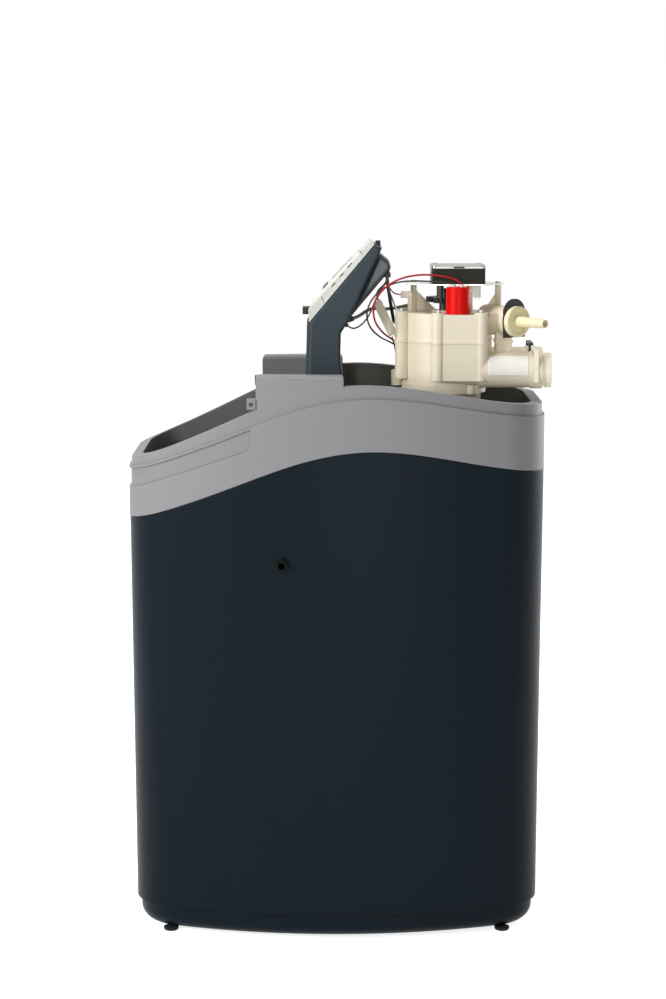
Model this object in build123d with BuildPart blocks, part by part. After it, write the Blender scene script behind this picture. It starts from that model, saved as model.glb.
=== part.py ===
from build123d import *
import math
import os

# Cabinet water softener with its covers off: a salt cabinet, a resin tank with its control valve
# and a control column. X runs from the salt side to the pipe side, Y across, Z up from the floor.
os.makedirs("parts", exist_ok=True)

overrun = 5.0
running_fit = 0.05
seat_gap = 0.3

# Cabinet
cabinet_length = 495.0
cabinet_width = 320.0
cabinet_x = -4.0
side_radius = 600.0
corner_radius = 70.0
tank_wall = 4.0
tank_draft = 4.0
foot_height = 4.0
plinth_height = 29.0
plinth_inset = 5.0
plinth_round = 18.0
floor_thickness = 5.0
foot_radius = 9.0
foot_edge = 1.5
foot_spacing_x = 400.0
foot_spacing_y = 210.0

# Heights of the three waves along the cabinet side: at the front, at the crest and at the back
seam_front, seam_crest, seam_back, seam_crest_x = 500.0, 588.0, 558.0, 27.0
ledge_front, ledge_crest, ledge_back, ledge_crest_x = 561.0, 649.5, 623.0, 21.0
rim_front, rim_crest, rim_back, rim_crest_x = 570.0, 664.0, 637.0, 6.0
front_rise_shares = ((0.25, 0.25), (0.5, 0.565), (0.75, 0.86), (1.0, 1.0))
back_drop_shares = ((0.5, 0.42), (1.0, 1.0))

# Top frame
frame_wall = 3.0
band_inset = 3.0
rim_width = 13.5
rim_thickness = 4.0
skirt_depth = 70.0
shelf_thickness = 3.0
lap_depth = 12.0
lap_clearance = 2.4
pier_front = -97.4
pier_back = 4.0
pier_top = 676.0
pier_foot = 606.0
pier_width = 30.0
pier_round = 5.0
hinge_length = 10.5
hinge_top = 649.0
hinge_width = 12.0
hinge_bore = 5.0
beam_front = -62.0
beam_top = 642.0
beam_height = 22.0
scoop_depth = 2.5
scoop_back = -104.0
scoop_front_z = 535.0
scoop_back_z = 590.0
scoop_round = 14.0

# Resin tank and what is in it
valve_x = 126.0
resin_radius = 99.0
resin_wall = 3.0
resin_bottom = 16.0
resin_dome = 46.0
resin_shoulder = 560.0
neck_radius = 45.0
neck_bore = 31.5
neck_top = 644.0
neck_height = 22.0
spigot_depth = 20.0
boot_height = 62.0
boot_wall = 4.0
boot_foot_radius = 93.0
boot_foot_height = 5.0
resin_level = 470.0
riser_radius = 13.5
riser_wall = 1.8
riser_top = 662.0
basket_radius = 24.0
basket_height = 48.0
basket_lift = 8.0
basket_slots = 12
basket_slot_width = 2.0
top_basket_radius = 26.0
top_basket_height = 22.0

# Brine well
well_x = -68.0
well_y = -88.0
well_radius = 45.0
well_wall = 3.0
well_height = 545.0
well_cap_height = 14.0
well_slot_width = 5.0
well_slot_height = 120.0
brine_tube_radius = 6.0
brine_tube_wall = 1.5
brine_body_radius = 17.0
brine_body_height = 46.0
brine_body_foot = 12.0
float_radius = 24.0
float_height = 46.0
float_travel = 30.0
float_stop = 5.0
float_low = 210.0
rod_radius = 2.5
rod_offset = 14.0
rod_guide_height = 14.0
guide_clearance = 8.0
float_clearance = 1.5
line_radius = 4.75
line_bend = 20.0
line_height = 611.0
line_reach = 6.0
line_turn_x, line_turn_y = 15.0, -30.0
line_rise = 632.0
elbow_angle = 170.0
elbow_circle = 58.0
elbow_radius = 6.5
elbow_foot = 650.0
elbow_height = 19.0
elbow_socket_depth = 10.0
elbow_stub_radius = 5.5
elbow_stub_z = 663.0

# Overflow
overflow_z = 456.5
overflow_radius = 6.0
overflow_bore = 4.2
overflow_flange = 8.0
overflow_flange_thickness = 3.0
overflow_reach = 6.0
nut_seat = 7.0
nut_radius = 12.0
nut_height = 7.0

# Control valve
neck_ring_radius = 51.0
neck_ring_height = 11.0
neck_lug_radius = 9.0
neck_lug_share = 0.9
body_radius = 50.0
body_foot = 655.0
boss_foot = 661.0
parting = 705.0
cover_top = 740.0
boss_top = 742.0
boss_circle = 55.0
boss_radius = 8.0
boss_count = 6
boss_first_angle = -40.0
corner_boss = (167.5, -53.0)
pad_back = 114.0
pad_length = 58.0
pad_reach = 60.0
pad_round = 8.0
parting_lip = 1.2
parting_lip_height = 3.0
cavity_radius = 40.0
cavity_floor = 690.0
cavity_roof = 722.0
screw_head_radius = 3.4
screw_head_height = 3.4
screw_radius = 2.0
screw_length = 34.0
screw_socket_radius = 1.6
disc_thickness = 8.0
disc_gap = 0.3
disc_radius = 37.0
rotor_radius = 33.0
disc_port_radius = 6.0
disc_port_circle = 18.0
rotor_hub_radius_disc = 14.0
rotor_hub_height = 6.0
port_spacing = 80.0
port_z = 673.0
port_radius = 21.2
port_bore = 15.0
port_start_block = 18.0
port_neck_start = 166.0
tail_bore = 14.0
port_end = 241.5
port_start = 133.0
socket_depth = 14.0
tail_spigot_radius = 17.0
tail_radius = 20.0
tail_end = 252.0
far_tail_end = 248.5
tail_collar_radius = 21.2
tail_collar_length = 7.0
clip_wire = 2.4
clip_width = 6.0
clip_x = 233.0
clip_reach = 22.0
clip_top = 27.5
clip_foot = 14.0

# Drain outlet, turned away from the pipe axis
drain_angle = -50.0
drain_x = 213.0
drain_y = -48.0
drain_z = 731.0
drain_boss_radius = 18.0
drain_boss_length = 46.0
drain_plate_width = 34.0
drain_plate_height = 46.0
drain_plate_thickness = 3.0
drain_plate_lift = 4.0
drain_socket_radius = 12.0
drain_socket_depth = 16.0
drain_cap_radius = 18.3
drain_cap_thickness = 7.0
drain_cap_rim = 3.0
drain_cap_recess = 4.0
barb_length = 44.0
barb_radius = 7.0
barb_tip_radius = 5.4
barb_bore = 3.4
barb_ridges = 4
barb_ridge = 0.6
web_front = 186.0
web_length = 20.0
web_width = 26.0
web_y = -24.0

# Drive on top of the valve
cell_x, cell_y = 140.5, -45.0
cell_cap_radius = 14.4
cell_cap_height = 32.0
cell_cap_round = 1.5
cell_hub_radius = 11.0
cell_hub_height = 26.0
terminal_radius = 2.4
terminal_height = 3.0
terminal_pitch = 5.5
terminal_shift = 4.0
terminal_step = 1.5
plate_z = 773.5
plate_thickness = 1.5
plate_left, plate_right = 80.0, 197.0
plate_left_half = 18.0
plate_middle_half = 36.0
plate_right_half = 16.0
plate_screw_radius = 1.8
plate_middle = 172.0
plate_round = 4.0
pillar_radius = 3.8
pillars = ((90.0, 22.0), (190.5, -8.0), (158.0, 24.0))
gusset_reach = (28.0, -18.0, -8.0)
gusset_thickness = 3.0
gusset_drop = 6.0
post_x, post_y = 155.7, -20.0
post_height = 24.0
motor_left, motor_right = 110.0, 173.5
motor_half_width = 33.0
motor_y = -4.0
motor_height = 18.5
motor_round = 4.0
can_height = 3.2
can_lip = 0.9
can_tab_drop = 9.0
can_tab_width = 9.0
gear_module = 1.4
gear_teeth = 30
pinion_teeth = 10
gear_backlash = 0.35
gear_z = 752.0
gear_width = 6.0
pinion_x = 120.0
gear_root_share = 1.25
gear_tip_share = 0.85
tooth_root_share = 0.30
tooth_tip_share = 0.12
gear_hole_circle = 14.0
gear_hole_radius = 3.0
spindle_radius = 6.0
spindle_top = 768.0
pinion_hub_radius = 4.4
pinion_shaft_radius = 2.5
pinion_shaft_depth = 8.0
switch_x, switch_y = 163.5, -4.0
switch_length = 12.5
switch_width = 8.0
switch_height = 16.0
pin_length = 3.0
pin_width = 0.8
plug_left, plug_right = 73.5, 87.0
plug_y = 0.0
plug_z = 760.5
plug_height = 8.0
plug_width = 9.0
plug_foot_length = 5.0

# Turbine meter in the near port
turbine_x = 214.0
cage_length = 12.0
cage_wall = 1.2
rotor_length = 7.0
rotor_tip_radius = 12.0
rotor_hub_radius = 3.2
rotor_pin_radius = 1.0
blade_thickness = 1.2
blade_chord = 7.0
blade_count = 5
blade_pitch = 35.0
spider_thickness = 2.0
spider_width = 1.8
spider_arms = 3
spider_hub_radius = 3.0

# Control column and head, seen from the side
column_front = -39.0
column_depth = 42.3
column_lean = 2.4
column_waist = 2.7
column_half_width = 45.0
column_round = 4.0
waist_foot_z = 660.0
waist_z = 690.9
neck_step = 0.7
neck_back_z = 717.1
panel_foot = 730.2
panel_angle = 50.0
panel_length = 120.5
panel_top_thickness = 10.2
panel_top_angle = -27.0
head_back_x, head_back_z = 10.4, 731.5
module_start = 31.5
module_end = 116.5
module_thickness = 34.7
module_half_width = 34.0
module_corner = 10.0
module_round = 6.0
pocket_start = 34.0
pocket_length = 62.0
pocket_depth = 8.0
pocket_half_width = 38.0
duct_length = 24.0
duct_width = 50.0
strip_thickness = 2.8
strip_foot = 667.0
strip_half_width = 40.0
bezel_low_start = 10.0
bezel_low_thickness = 10.0
bezel_high_thickness = 6.0
bezel_half_width = 44.0
bezel_round = 2.5
cover_start = 29.5
cover_end = 100.0
cover_floor = 1.8
cover_gap = 0.5
cover_low_thickness = 12.2
cover_high_thickness = 7.8
cover_lean = 5.0
cover_half_width = 43.0
cover_shell = 2.0
cover_round = 3.0
latch_slot_length = 7.2
latch_slot_width = 1.2
latch_slot_height = 5.9
latch_slot_pitch = 15.0
latch_slot_centre = 67.5
window_length = 34.0
window_width = 62.0
window_place = 39.5
lens_rim = 1.0
lens_thickness = 1.2
lens_recess = 0.4
lens_seat = 0.15
board_length = 56.0
board_width = 70.0
board_thickness = 1.6
board_start = 37.0
board_post_radius = 3.0
display_height = 2.6
switch_body = 6.0
switch_body_height = 3.2
key_place = 9.5
key_radius = 4.5
key_pitch = 18.0
key_count = 3
key_stand = 0.9
key_flange = 1.0
key_flange_thickness = 1.0
key_stem_radius = 2.0
low_catch_z = 737.4
low_catch_height = 8.5
low_catch_width = 22.0
low_catch_front = -45.0
low_catch_back = -34.0
high_catch_front, high_catch_back = 42.8, 48.7
high_catch_foot, high_catch_top = 817.0, 825.3
high_catch_width = 20.0
outlet_place = 107.5
outlet_height = 7.5
outlet_lip = 1.6
outlet_width = 34.0
outlet_y = -12.5
lead_gland_radius = 2.4
lead_gland_length = 3.0
lead_gland_place = 0.62
lead_gland_y = -25.0
cable_gland_radius = 3.2
cable_gland_x, cable_gland_y, cable_gland_z = 4.0, -12.0, 728.7
cable_gland_angle = 18.0
cable_gland_length = 13.0

# Leads
connector_top = Vector(44.9, 0, 752.0)
connector_foot = Vector(64.5, 0, 712.0)
connector_width = 10.6
connector_depth = 8.0
connector_round = 1.2
connector_waist = 20.0
ring_boss = 2
ring_radius = 4.6
ring_thickness = 0.8
tongue_length = 1.5
tongue_width = 2.6
barrel_lean = 25.0
barrel_length = 6.0
cell_lead_width = 2.3
lead_step = 0.3
thin_lead_width = 1.9
cable_width = 4.0
sleeve_width = 4.2
sensor_width = 1.6

half_length = cabinet_length / 2
half_width = cabinet_width / 2
tank_floor = foot_height + floor_thickness
plinth_top = foot_height + plinth_height


def save(piece, name):
    piece.label = name
    export_step(piece, f"parts/{name}.step")


def unit(angle):
    return Vector(math.cos(math.radians(angle)), math.sin(math.radians(angle)))


def plan(inset, height):
    """The cabinet's outline from above, moved inwards by inset."""
    reach = half_length - inset
    side = half_width - inset
    radius = side_radius - inset
    corner = side - radius + math.sqrt(radius**2 - reach**2)
    with BuildSketch(Plane((cabinet_x, 0, height))) as outline:
        with BuildLine():
            ThreePointArc((-reach, -corner), (0, -side), (reach, -corner))
            Line((reach, -corner), (reach, corner))
            ThreePointArc((reach, corner), (0, side), (-reach, corner))
            Line((-reach, corner), (-reach, -corner))
        make_face()
        fillet(outline.vertices(), corner_radius - inset)
    return outline.sketch


def wave_points(front, crest, back, crest_x, lift=0):
    """Points of a wave along the side, past the cabinet at both ends."""
    start = cabinet_x - half_length - overrun
    end = cabinet_x + half_length + overrun
    points = [(start, front + lift)]
    for along, rise in front_rise_shares:
        points.append((start + along * (crest_x - start), front + rise * (crest - front) + lift))
    for along, drop in back_drop_shares:
        points.append((crest_x + along * (end - crest_x), crest + drop * (back - crest) + lift))
    return points


seam = wave_points(seam_front, seam_crest, seam_back, seam_crest_x)
ledge = wave_points(ledge_front, ledge_crest, ledge_back, ledge_crest_x)
rim = wave_points(rim_front, rim_crest, rim_back, rim_crest_x)


def lifted(points, lift):
    return [(x, z + lift) for x, z in points]


def between(low, high):
    """The space between two waves, right through the cabinet."""
    with BuildPart() as block:
        with BuildSketch(Plane.XZ):
            with BuildLine():
                Spline(*low)
                Line(low[-1], high[-1])
                Spline(*high)
                Line(high[0], low[0])
            make_face()
        extrude(amount=half_width + overrun, both=True)
    return block.part


def band(outer_inset, inner_inset, low, high):
    """A ring of the cabinet's outline between two waves."""
    bottom = min(z for x, z in low) - overrun
    height = max(z for x, z in high) + overrun - bottom
    with BuildPart() as ring:
        extrude(plan(outer_inset, bottom), amount=height)
        extrude(plan(inner_inset, bottom), amount=height, mode=Mode.SUBTRACT)
        add(between(low, high), mode=Mode.INTERSECT)
    return ring.part


# Salt cabinet, moulded with a drawn-in plinth
above = seam_crest - seam_front
with BuildPart() as cabinet_tank:
    loft([plan(tank_draft, plinth_top), plan(0, seam_crest + overrun)], ruled=True)
    extrude(plan(tank_draft + plinth_inset, foot_height), amount=plinth_height)
    fillet(cabinet_tank.edges().group_by(Axis.Z)[0], plinth_round)
    inside = tank_draft + plinth_inset + tank_wall
    low_inside = plan(inside + plinth_round / 2, tank_floor)
    loft([low_inside, plan(inside, plinth_top)], ruled=True, mode=Mode.SUBTRACT)
    high_inside = plan(tank_wall, seam_crest + 2 * overrun)
    loft([plan(inside, plinth_top), high_inside], ruled=True, mode=Mode.SUBTRACT)
    add(between(seam, lifted(seam, 2 * above)), mode=Mode.SUBTRACT)
    with BuildSketch(Plane((well_x, 0, overflow_z), x_dir=(1, 0, 0), z_dir=(0, -1, 0))):
        Circle(overflow_radius + running_fit)
    extrude(amount=half_width + overrun, mode=Mode.SUBTRACT)
save(cabinet_tank.part, "cabinet_tank")

with BuildPart() as rubber_feet:
    with BuildSketch(Plane((cabinet_x, 0, 0))):
        with GridLocations(foot_spacing_x, foot_spacing_y, 2, 2):
            Circle(foot_radius)
    extrude(amount=foot_height)
    chamfer(rubber_feet.edges().group_by(Axis.Z)[0], foot_edge)
save(rubber_feet.part, "rubber_feet")

# Top frame: side walls with a stepped band, a rim, two piers and the beam that carries the column
pier_length = pier_back - pier_front
pier_middle = (pier_back + pier_front) / 2


def pier_shell(outer_inset, inner_inset, shrink, bottom, top):
    """Both piers as one ring, cut to the piers' length."""
    with BuildPart() as piers:
        extrude(plan(outer_inset, bottom), amount=top - bottom)
        extrude(plan(inner_inset, bottom), amount=top - bottom, mode=Mode.SUBTRACT)
        with BuildSketch(Plane((pier_middle, 0, bottom))):
            Rectangle(pier_length - 2 * shrink, cabinet_width + overrun)
        extrude(amount=top - bottom, mode=Mode.INTERSECT)
    return piers.part


def pier_edges(part):
    return part.edges().group_by(Axis.Z)[-1]


with BuildPart() as piers:
    add(pier_shell(band_inset, band_inset + pier_width, 0, pier_foot, pier_top))
    fillet(pier_edges(piers), pier_round)
    add(
        pier_shell(
            band_inset + frame_wall,
            band_inset + pier_width - frame_wall,
            frame_wall,
            pier_foot - overrun,
            pier_top - frame_wall,
        ),
        mode=Mode.SUBTRACT,
    )

with BuildPart() as scoops:
    with BuildSketch(Plane.XZ) as scoop_outline:
        with BuildLine():
            before = cabinet_x - half_length - overrun
            Polyline(
                (before, scoop_front_z),
                (scoop_back, scoop_back_z),
                (scoop_back, pier_top),
                (before, pier_top),
                close=True,
            )
        make_face()
        fillet(scoop_outline.vertices().sort_by(Axis.X)[-2:].sort_by(Axis.Y)[0], scoop_round)
    extrude(amount=half_width + overrun, both=True)

mid_shelf = lifted(ledge, -shelf_thickness / 2)
mid_rim = lifted(rim, -rim_thickness / 2)
above_seam = lifted(seam, seat_gap)
lip_inset = tank_wall + lap_clearance
lip_inside = lip_inset + frame_wall
skirt_inset = band_inset + rim_width - frame_wall
beam_half = half_width - band_inset - pier_width + frame_wall / 2
beam_length = pier_back - beam_front
with BuildPart() as top_frame:
    add(band(0, frame_wall, above_seam, mid_shelf))
    add(band(0, scoop_depth, seam, ledge) & scoops.part, mode=Mode.SUBTRACT)
    add(band(scoop_depth, scoop_depth + frame_wall, above_seam, mid_shelf) & scoops.part)
    add(band(lip_inset, lip_inside, lifted(seam, -lap_depth), mid_shelf))
    add(band(band_inset, band_inset + frame_wall, mid_shelf, mid_rim))
    add(band(skirt_inset, skirt_inset + frame_wall, lifted(rim, -skirt_depth), mid_rim))
    add(band(0, lip_inside, lifted(ledge, -shelf_thickness), ledge))
    add(band(band_inset, band_inset + rim_width, lifted(rim, -rim_thickness), rim))
    add(
        pier_shell(
            band_inset + frame_wall / 2,
            band_inset + pier_width,
            frame_wall / 2,
            pier_foot + frame_wall / 2,
            pier_top + overrun,
        ),
        mode=Mode.SUBTRACT,
    )
    add(piers.part)
    with BuildSketch(Plane(((pier_back + beam_front) / 2, 0, beam_top - beam_height))):
        Rectangle(beam_length, 2 * beam_half)
    extrude(amount=beam_height)
    with BuildSketch(Plane(((pier_back + beam_front) / 2, 0, beam_top - beam_height))):
        Rectangle(beam_length - 2 * frame_wall, 2 * (beam_half - frame_wall))
    extrude(amount=beam_height - frame_wall, mode=Mode.SUBTRACT)
    for side in (-1, 1):
        hinge_y = side * (half_width - band_inset - hinge_width)
        with BuildSketch(Plane((pier_front - hinge_length / 2, hinge_y, hinge_top - hinge_width))):
            Rectangle(hinge_length, hinge_width)
        extrude(amount=hinge_width)
        hinge_plane = Plane((pier_front - hinge_length / 2, 0, hinge_top - hinge_width / 2))
        with BuildSketch(hinge_plane.rotated((90, 0, 0))):
            Circle(hinge_bore / 2)
        extrude(amount=half_width, both=True, mode=Mode.SUBTRACT)
save(top_frame.part, "top_frame")


def turned(x, y, profile):
    """A round piece about the upright axis at x, y, from its profile of radii and heights."""
    with BuildPart() as piece:
        with BuildSketch(Plane((x, y, 0), x_dir=(1, 0, 0), z_dir=(0, -1, 0))):
            with BuildLine():
                Polyline(*profile, close=True)
            make_face()
        revolve(axis=Axis((x, y, 0), (0, 0, 1)))
    return piece.part


def tank_shape(inset):
    """The resin tank's solid of revolution, moved inwards by inset."""
    bottom, top = resin_bottom + inset, neck_top
    radius, neck = resin_radius - inset, (neck_bore if inset else neck_radius)
    dome = resin_dome - inset
    shoulder_end = neck_top - neck_height - inset
    with BuildPart() as shape:
        with BuildSketch(Plane((valve_x, 0, 0), x_dir=(1, 0, 0), z_dir=(0, -1, 0))):
            with BuildLine():
                Line((0, bottom), (radius - dome, bottom))
                TangentArc((radius - dome, bottom), (radius, bottom + dome), tangent=(1, 0))
                Line((radius, bottom + dome), (radius, resin_shoulder))
                TangentArc((radius, resin_shoulder), (neck, shoulder_end), tangent=(0, 1))
                Polyline((neck, shoulder_end), (neck, top), (0, top), (0, bottom))
            make_face()
        revolve(axis=Axis((valve_x, 0, 0), (0, 0, 1)))
    return shape.part


# Overflow outlet through the cabinet's side
overflow_y = -(half_width - side_radius + math.sqrt(side_radius**2 - (well_x - cabinet_x) ** 2))
overflow_draft = tank_draft * (seam_crest - overflow_z) / (seam_crest - plinth_top)
overflow_face = overflow_y + overflow_draft
overflow_plane = Plane((well_x, overflow_face, overflow_z), x_dir=(1, 0, 0), z_dir=(0, 1, 0))
flange_back = -overflow_draft - seat_gap
flange_front = flange_back - overflow_flange_thickness
barb_front = flange_front - overflow_reach
with BuildPart() as overflow_outlet:
    with BuildSketch(overflow_plane.offset(flange_front)):
        Circle(overflow_flange)
    extrude(amount=overflow_flange_thickness)
    chamfer(overflow_outlet.edges().group_by(Axis.Y)[0], overflow_flange_thickness / 3)
    with BuildSketch(overflow_plane.offset(barb_front)):
        Circle(overflow_radius)
    extrude(amount=overflow_reach + overflow_flange_thickness + 2 * nut_seat + nut_height)
    with BuildSketch(overflow_plane.offset(barb_front)):
        Circle(overflow_bore)
    extrude(amount=half_width, mode=Mode.SUBTRACT)
save(overflow_outlet.part, "overflow_outlet")

with BuildPart() as overflow_nut:
    with BuildSketch(overflow_plane.offset(nut_seat)):
        RegularPolygon(nut_radius, 6)
        Circle(overflow_radius + running_fit, mode=Mode.SUBTRACT)
    extrude(amount=nut_height)
save(overflow_nut.part, "overflow_nut")

# Resin tank with its boot, riser, baskets and resin
with BuildPart() as resin_tank:
    add(tank_shape(0))
    add(tank_shape(resin_wall), mode=Mode.SUBTRACT)
save(resin_tank.part, "resin_tank")

boot_radius = resin_radius + boot_wall
boot_top = tank_floor + boot_height
boot_profile = (
    (resin_radius - resin_dome, tank_floor),
    (boot_foot_radius, tank_floor),
    (boot_foot_radius, tank_floor + boot_foot_height),
    (boot_radius, plinth_top),
    (boot_radius, boot_top),
    (resin_radius + seat_gap, boot_top),
    (resin_radius + seat_gap, resin_bottom + resin_dome),
    (resin_radius - resin_dome, resin_bottom + resin_dome),
)
with BuildPart() as tank_boot:
    add(turned(valve_x, 0, boot_profile))
    add(tank_shape(-seat_gap), mode=Mode.SUBTRACT)
save(tank_boot.part, "tank_boot")

basket_bottom = resin_bottom + resin_wall + basket_lift
riser_bottom = basket_bottom + basket_height / 2
top_basket_foot = neck_top - spigot_depth - top_basket_height
with BuildPart() as resin_distributor:
    with BuildSketch(Plane((valve_x, 0, basket_bottom))):
        Circle(basket_radius)
    extrude(amount=basket_height)
    with BuildSketch(Plane((valve_x, 0, basket_bottom + basket_slot_width))):
        Circle(basket_radius - riser_wall)
        Circle(riser_radius + riser_wall, mode=Mode.SUBTRACT)
    extrude(amount=basket_height - 2 * basket_slot_width, mode=Mode.SUBTRACT)
    with BuildSketch(Plane((valve_x, 0, riser_bottom))):
        Circle(riser_radius)
    extrude(amount=basket_height, mode=Mode.SUBTRACT)
    with BuildSketch(Plane((valve_x, 0, basket_bottom + 2 * basket_slot_width))):
        with PolarLocations(basket_radius, basket_slots):
            Rectangle(4 * riser_wall, basket_slot_width)
    extrude(amount=basket_height - 4 * basket_slot_width, mode=Mode.SUBTRACT)
    with BuildSketch(Plane((valve_x, 0, top_basket_foot))):
        Circle(top_basket_radius)
        Circle(riser_radius + running_fit, mode=Mode.SUBTRACT)
    extrude(amount=top_basket_height)
    with BuildSketch(Plane((valve_x, 0, top_basket_foot + basket_slot_width))):
        with PolarLocations(top_basket_radius, basket_slots):
            Rectangle(4 * riser_wall, basket_slot_width)
    extrude(amount=top_basket_height - 2 * basket_slot_width, mode=Mode.SUBTRACT)
    with BuildSketch(Plane((valve_x, 0, riser_bottom))):
        Circle(riser_radius)
        Circle(riser_radius - riser_wall, mode=Mode.SUBTRACT)
    extrude(amount=riser_top - riser_bottom)
save(resin_distributor.part, "resin_distributor")

with BuildPart() as resin_bed:
    add(tank_shape(resin_wall + seat_gap))
    with BuildSketch(Plane((valve_x, 0, resin_level))):
        Circle(2 * resin_radius)
    extrude(amount=neck_top, mode=Mode.SUBTRACT)
    with BuildSketch(Plane((valve_x, 0, riser_bottom))):
        Circle(riser_radius + seat_gap)
    extrude(amount=resin_level, mode=Mode.SUBTRACT)
    with BuildSketch(Plane((valve_x, 0, basket_bottom - seat_gap))):
        Circle(basket_radius + seat_gap)
    extrude(amount=basket_height + 2 * seat_gap, mode=Mode.SUBTRACT)
save(resin_bed.part, "resin_bed")

# Brine well with its cap, foot valve, float and rod
well_bottom = tank_floor
well_top = well_bottom + well_height
with BuildPart() as brine_well:
    with BuildSketch(Plane((well_x, well_y, well_bottom))):
        Circle(well_radius)
        Circle(well_radius - well_wall, mode=Mode.SUBTRACT)
    extrude(amount=well_height)
    with BuildSketch(Plane((well_x, well_y, well_bottom + 2 * well_slot_width))):
        with PolarLocations(well_radius, 4):
            Rectangle(4 * well_wall, well_slot_width)
    extrude(amount=well_slot_height, mode=Mode.SUBTRACT)
    with BuildSketch(Plane((well_x, well_y, overflow_z), x_dir=(1, 0, 0), z_dir=(0, -1, 0))):
        Circle(nut_radius + 2 * well_wall)
    extrude(amount=2 * well_radius, mode=Mode.SUBTRACT)
save(brine_well.part, "brine_well")

cap_bottom = well_top - well_cap_height / 2
with BuildPart() as brine_well_cap:
    with BuildSketch(Plane((well_x, well_y, cap_bottom))):
        Circle(well_radius + well_wall)
    extrude(amount=well_cap_height)
    chamfer(brine_well_cap.edges().group_by(Axis.Z)[-1], well_wall / 2)
    with BuildSketch(Plane((well_x, well_y, cap_bottom))):
        Circle(well_radius + running_fit)
    extrude(amount=well_cap_height / 2, mode=Mode.SUBTRACT)
    with BuildSketch(Plane((well_x, well_y, cap_bottom))):
        Circle(line_radius + seat_gap)
    extrude(amount=2 * well_cap_height, mode=Mode.SUBTRACT)
save(brine_well_cap.part, "brine_well_cap")

with BuildPart() as brine_valve:
    with BuildSketch(Plane((well_x, well_y, well_bottom + brine_body_foot))):
        Circle(brine_body_radius)
    extrude(amount=brine_body_height)
    with BuildSketch(Plane((well_x, well_y, well_bottom))):
        with PolarLocations(brine_body_radius - 2 * well_wall, 3):
            Circle(well_wall)
    extrude(amount=brine_body_foot)
    with BuildSketch(Plane((well_x, well_y, well_bottom + brine_body_foot))):
        Circle(brine_tube_radius)
    extrude(amount=cap_bottom - line_reach - well_bottom - brine_body_foot)
    guide_plane = Plane((well_x, well_y, float_low + float_height + float_travel + guide_clearance))
    with BuildSketch(guide_plane):
        SlotCenterToCenter(2 * rod_offset, 4 * rod_radius)
        with Locations((rod_offset, 0)):
            Circle(rod_radius + running_fit, mode=Mode.SUBTRACT)
        with Locations((-rod_offset, 0)):
            Circle(rod_radius, mode=Mode.SUBTRACT)
    extrude(amount=rod_guide_height)
    with BuildSketch(Plane((well_x, well_y, well_bottom + brine_body_foot + brine_body_height))):
        Circle(brine_tube_radius - brine_tube_wall)
    extrude(amount=well_height, mode=Mode.SUBTRACT)
save(brine_valve.part, "brine_valve")

rod_foot = float_low + float_height / 2
rod_top = float_low + float_height + 2 * float_travel + guide_clearance + rod_guide_height + float_stop
with BuildPart() as brine_float:
    with BuildSketch(Plane((well_x, well_y, float_low))):
        Circle(float_radius)
        Circle(brine_tube_radius + float_clearance, mode=Mode.SUBTRACT)
    extrude(amount=float_height)
    end_edges = brine_float.edges().group_by(Axis.Z)
    fillet(end_edges[0] + end_edges[-1], float_stop / 2)
    with BuildSketch(Plane((well_x + rod_offset, well_y, rod_foot))):
        Circle(rod_radius)
    extrude(amount=rod_top - rod_foot)
save(brine_float.part, "brine_float")

# Brine line from the foot valve's tube, under the beam and up to the elbow on the valve
elbow_axis = unit(elbow_angle)
elbow_place = Vector(valve_x, 0) + elbow_circle * elbow_axis
line_start = (well_x, well_y, cap_bottom - line_reach)
with BuildPart() as brine_line:
    with BuildLine() as line_path:
        FilletPolyline(
            line_start,
            (well_x, well_y, line_height),
            (line_turn_x, line_turn_y, line_height),
            (elbow_place.X, elbow_place.Y, line_rise),
            (elbow_place.X, elbow_place.Y, elbow_foot + elbow_socket_depth - seat_gap),
            radius=line_bend,
        )
    with BuildSketch(Plane(origin=line_start, z_dir=(0, 0, 1))):
        Circle(line_radius)
    sweep()
save(brine_line.part, "brine_line")

# Control valve: neck ring, lower body with the two ports, and cover with the drain boss
boss_angles = [boss_first_angle - index * 360 / boss_count for index in range(boss_count)]
boss_places = [Vector(valve_x, 0) + boss_circle * unit(angle) for angle in boss_angles]
boss_places[0] = Vector(corner_boss)


def body_outline(height, bosses, grow=0):
    """The valve body from above: drum, front pad and, if asked for, the screw bosses."""
    with BuildSketch(Plane.XY.offset(height)) as outline:
        with Locations((valve_x, 0)):
            Circle(body_radius + grow)
        with Locations((pad_back + pad_length / 2, -pad_reach / 2)):
            RectangleRounded(pad_length + 2 * grow, pad_reach + 2 * grow, pad_round)
        if bosses:
            with Locations(*boss_places):
                Circle(boss_radius + grow)
    return outline.sketch


def port_plane(side, x):
    return Plane((x, side * port_spacing / 2, port_z), x_dir=(0, 1, 0), z_dir=(1, 0, 0))


with BuildPart() as neck_ring:
    with BuildSketch(Plane((valve_x, 0, neck_top))):
        Circle(neck_ring_radius)
        with Locations(neck_lug_share * neck_ring_radius * unit(drain_angle)):
            Circle(neck_lug_radius)
    extrude(amount=neck_ring_height)
    with BuildSketch(Plane((valve_x, 0, neck_top - spigot_depth))):
        Circle(neck_bore - running_fit)
    extrude(amount=spigot_depth)
    with BuildSketch(Plane((valve_x, 0, neck_top - spigot_depth))):
        Circle(riser_radius + running_fit)
    extrude(amount=spigot_depth + neck_ring_height, mode=Mode.SUBTRACT)
save(neck_ring.part, "neck_ring")

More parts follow.
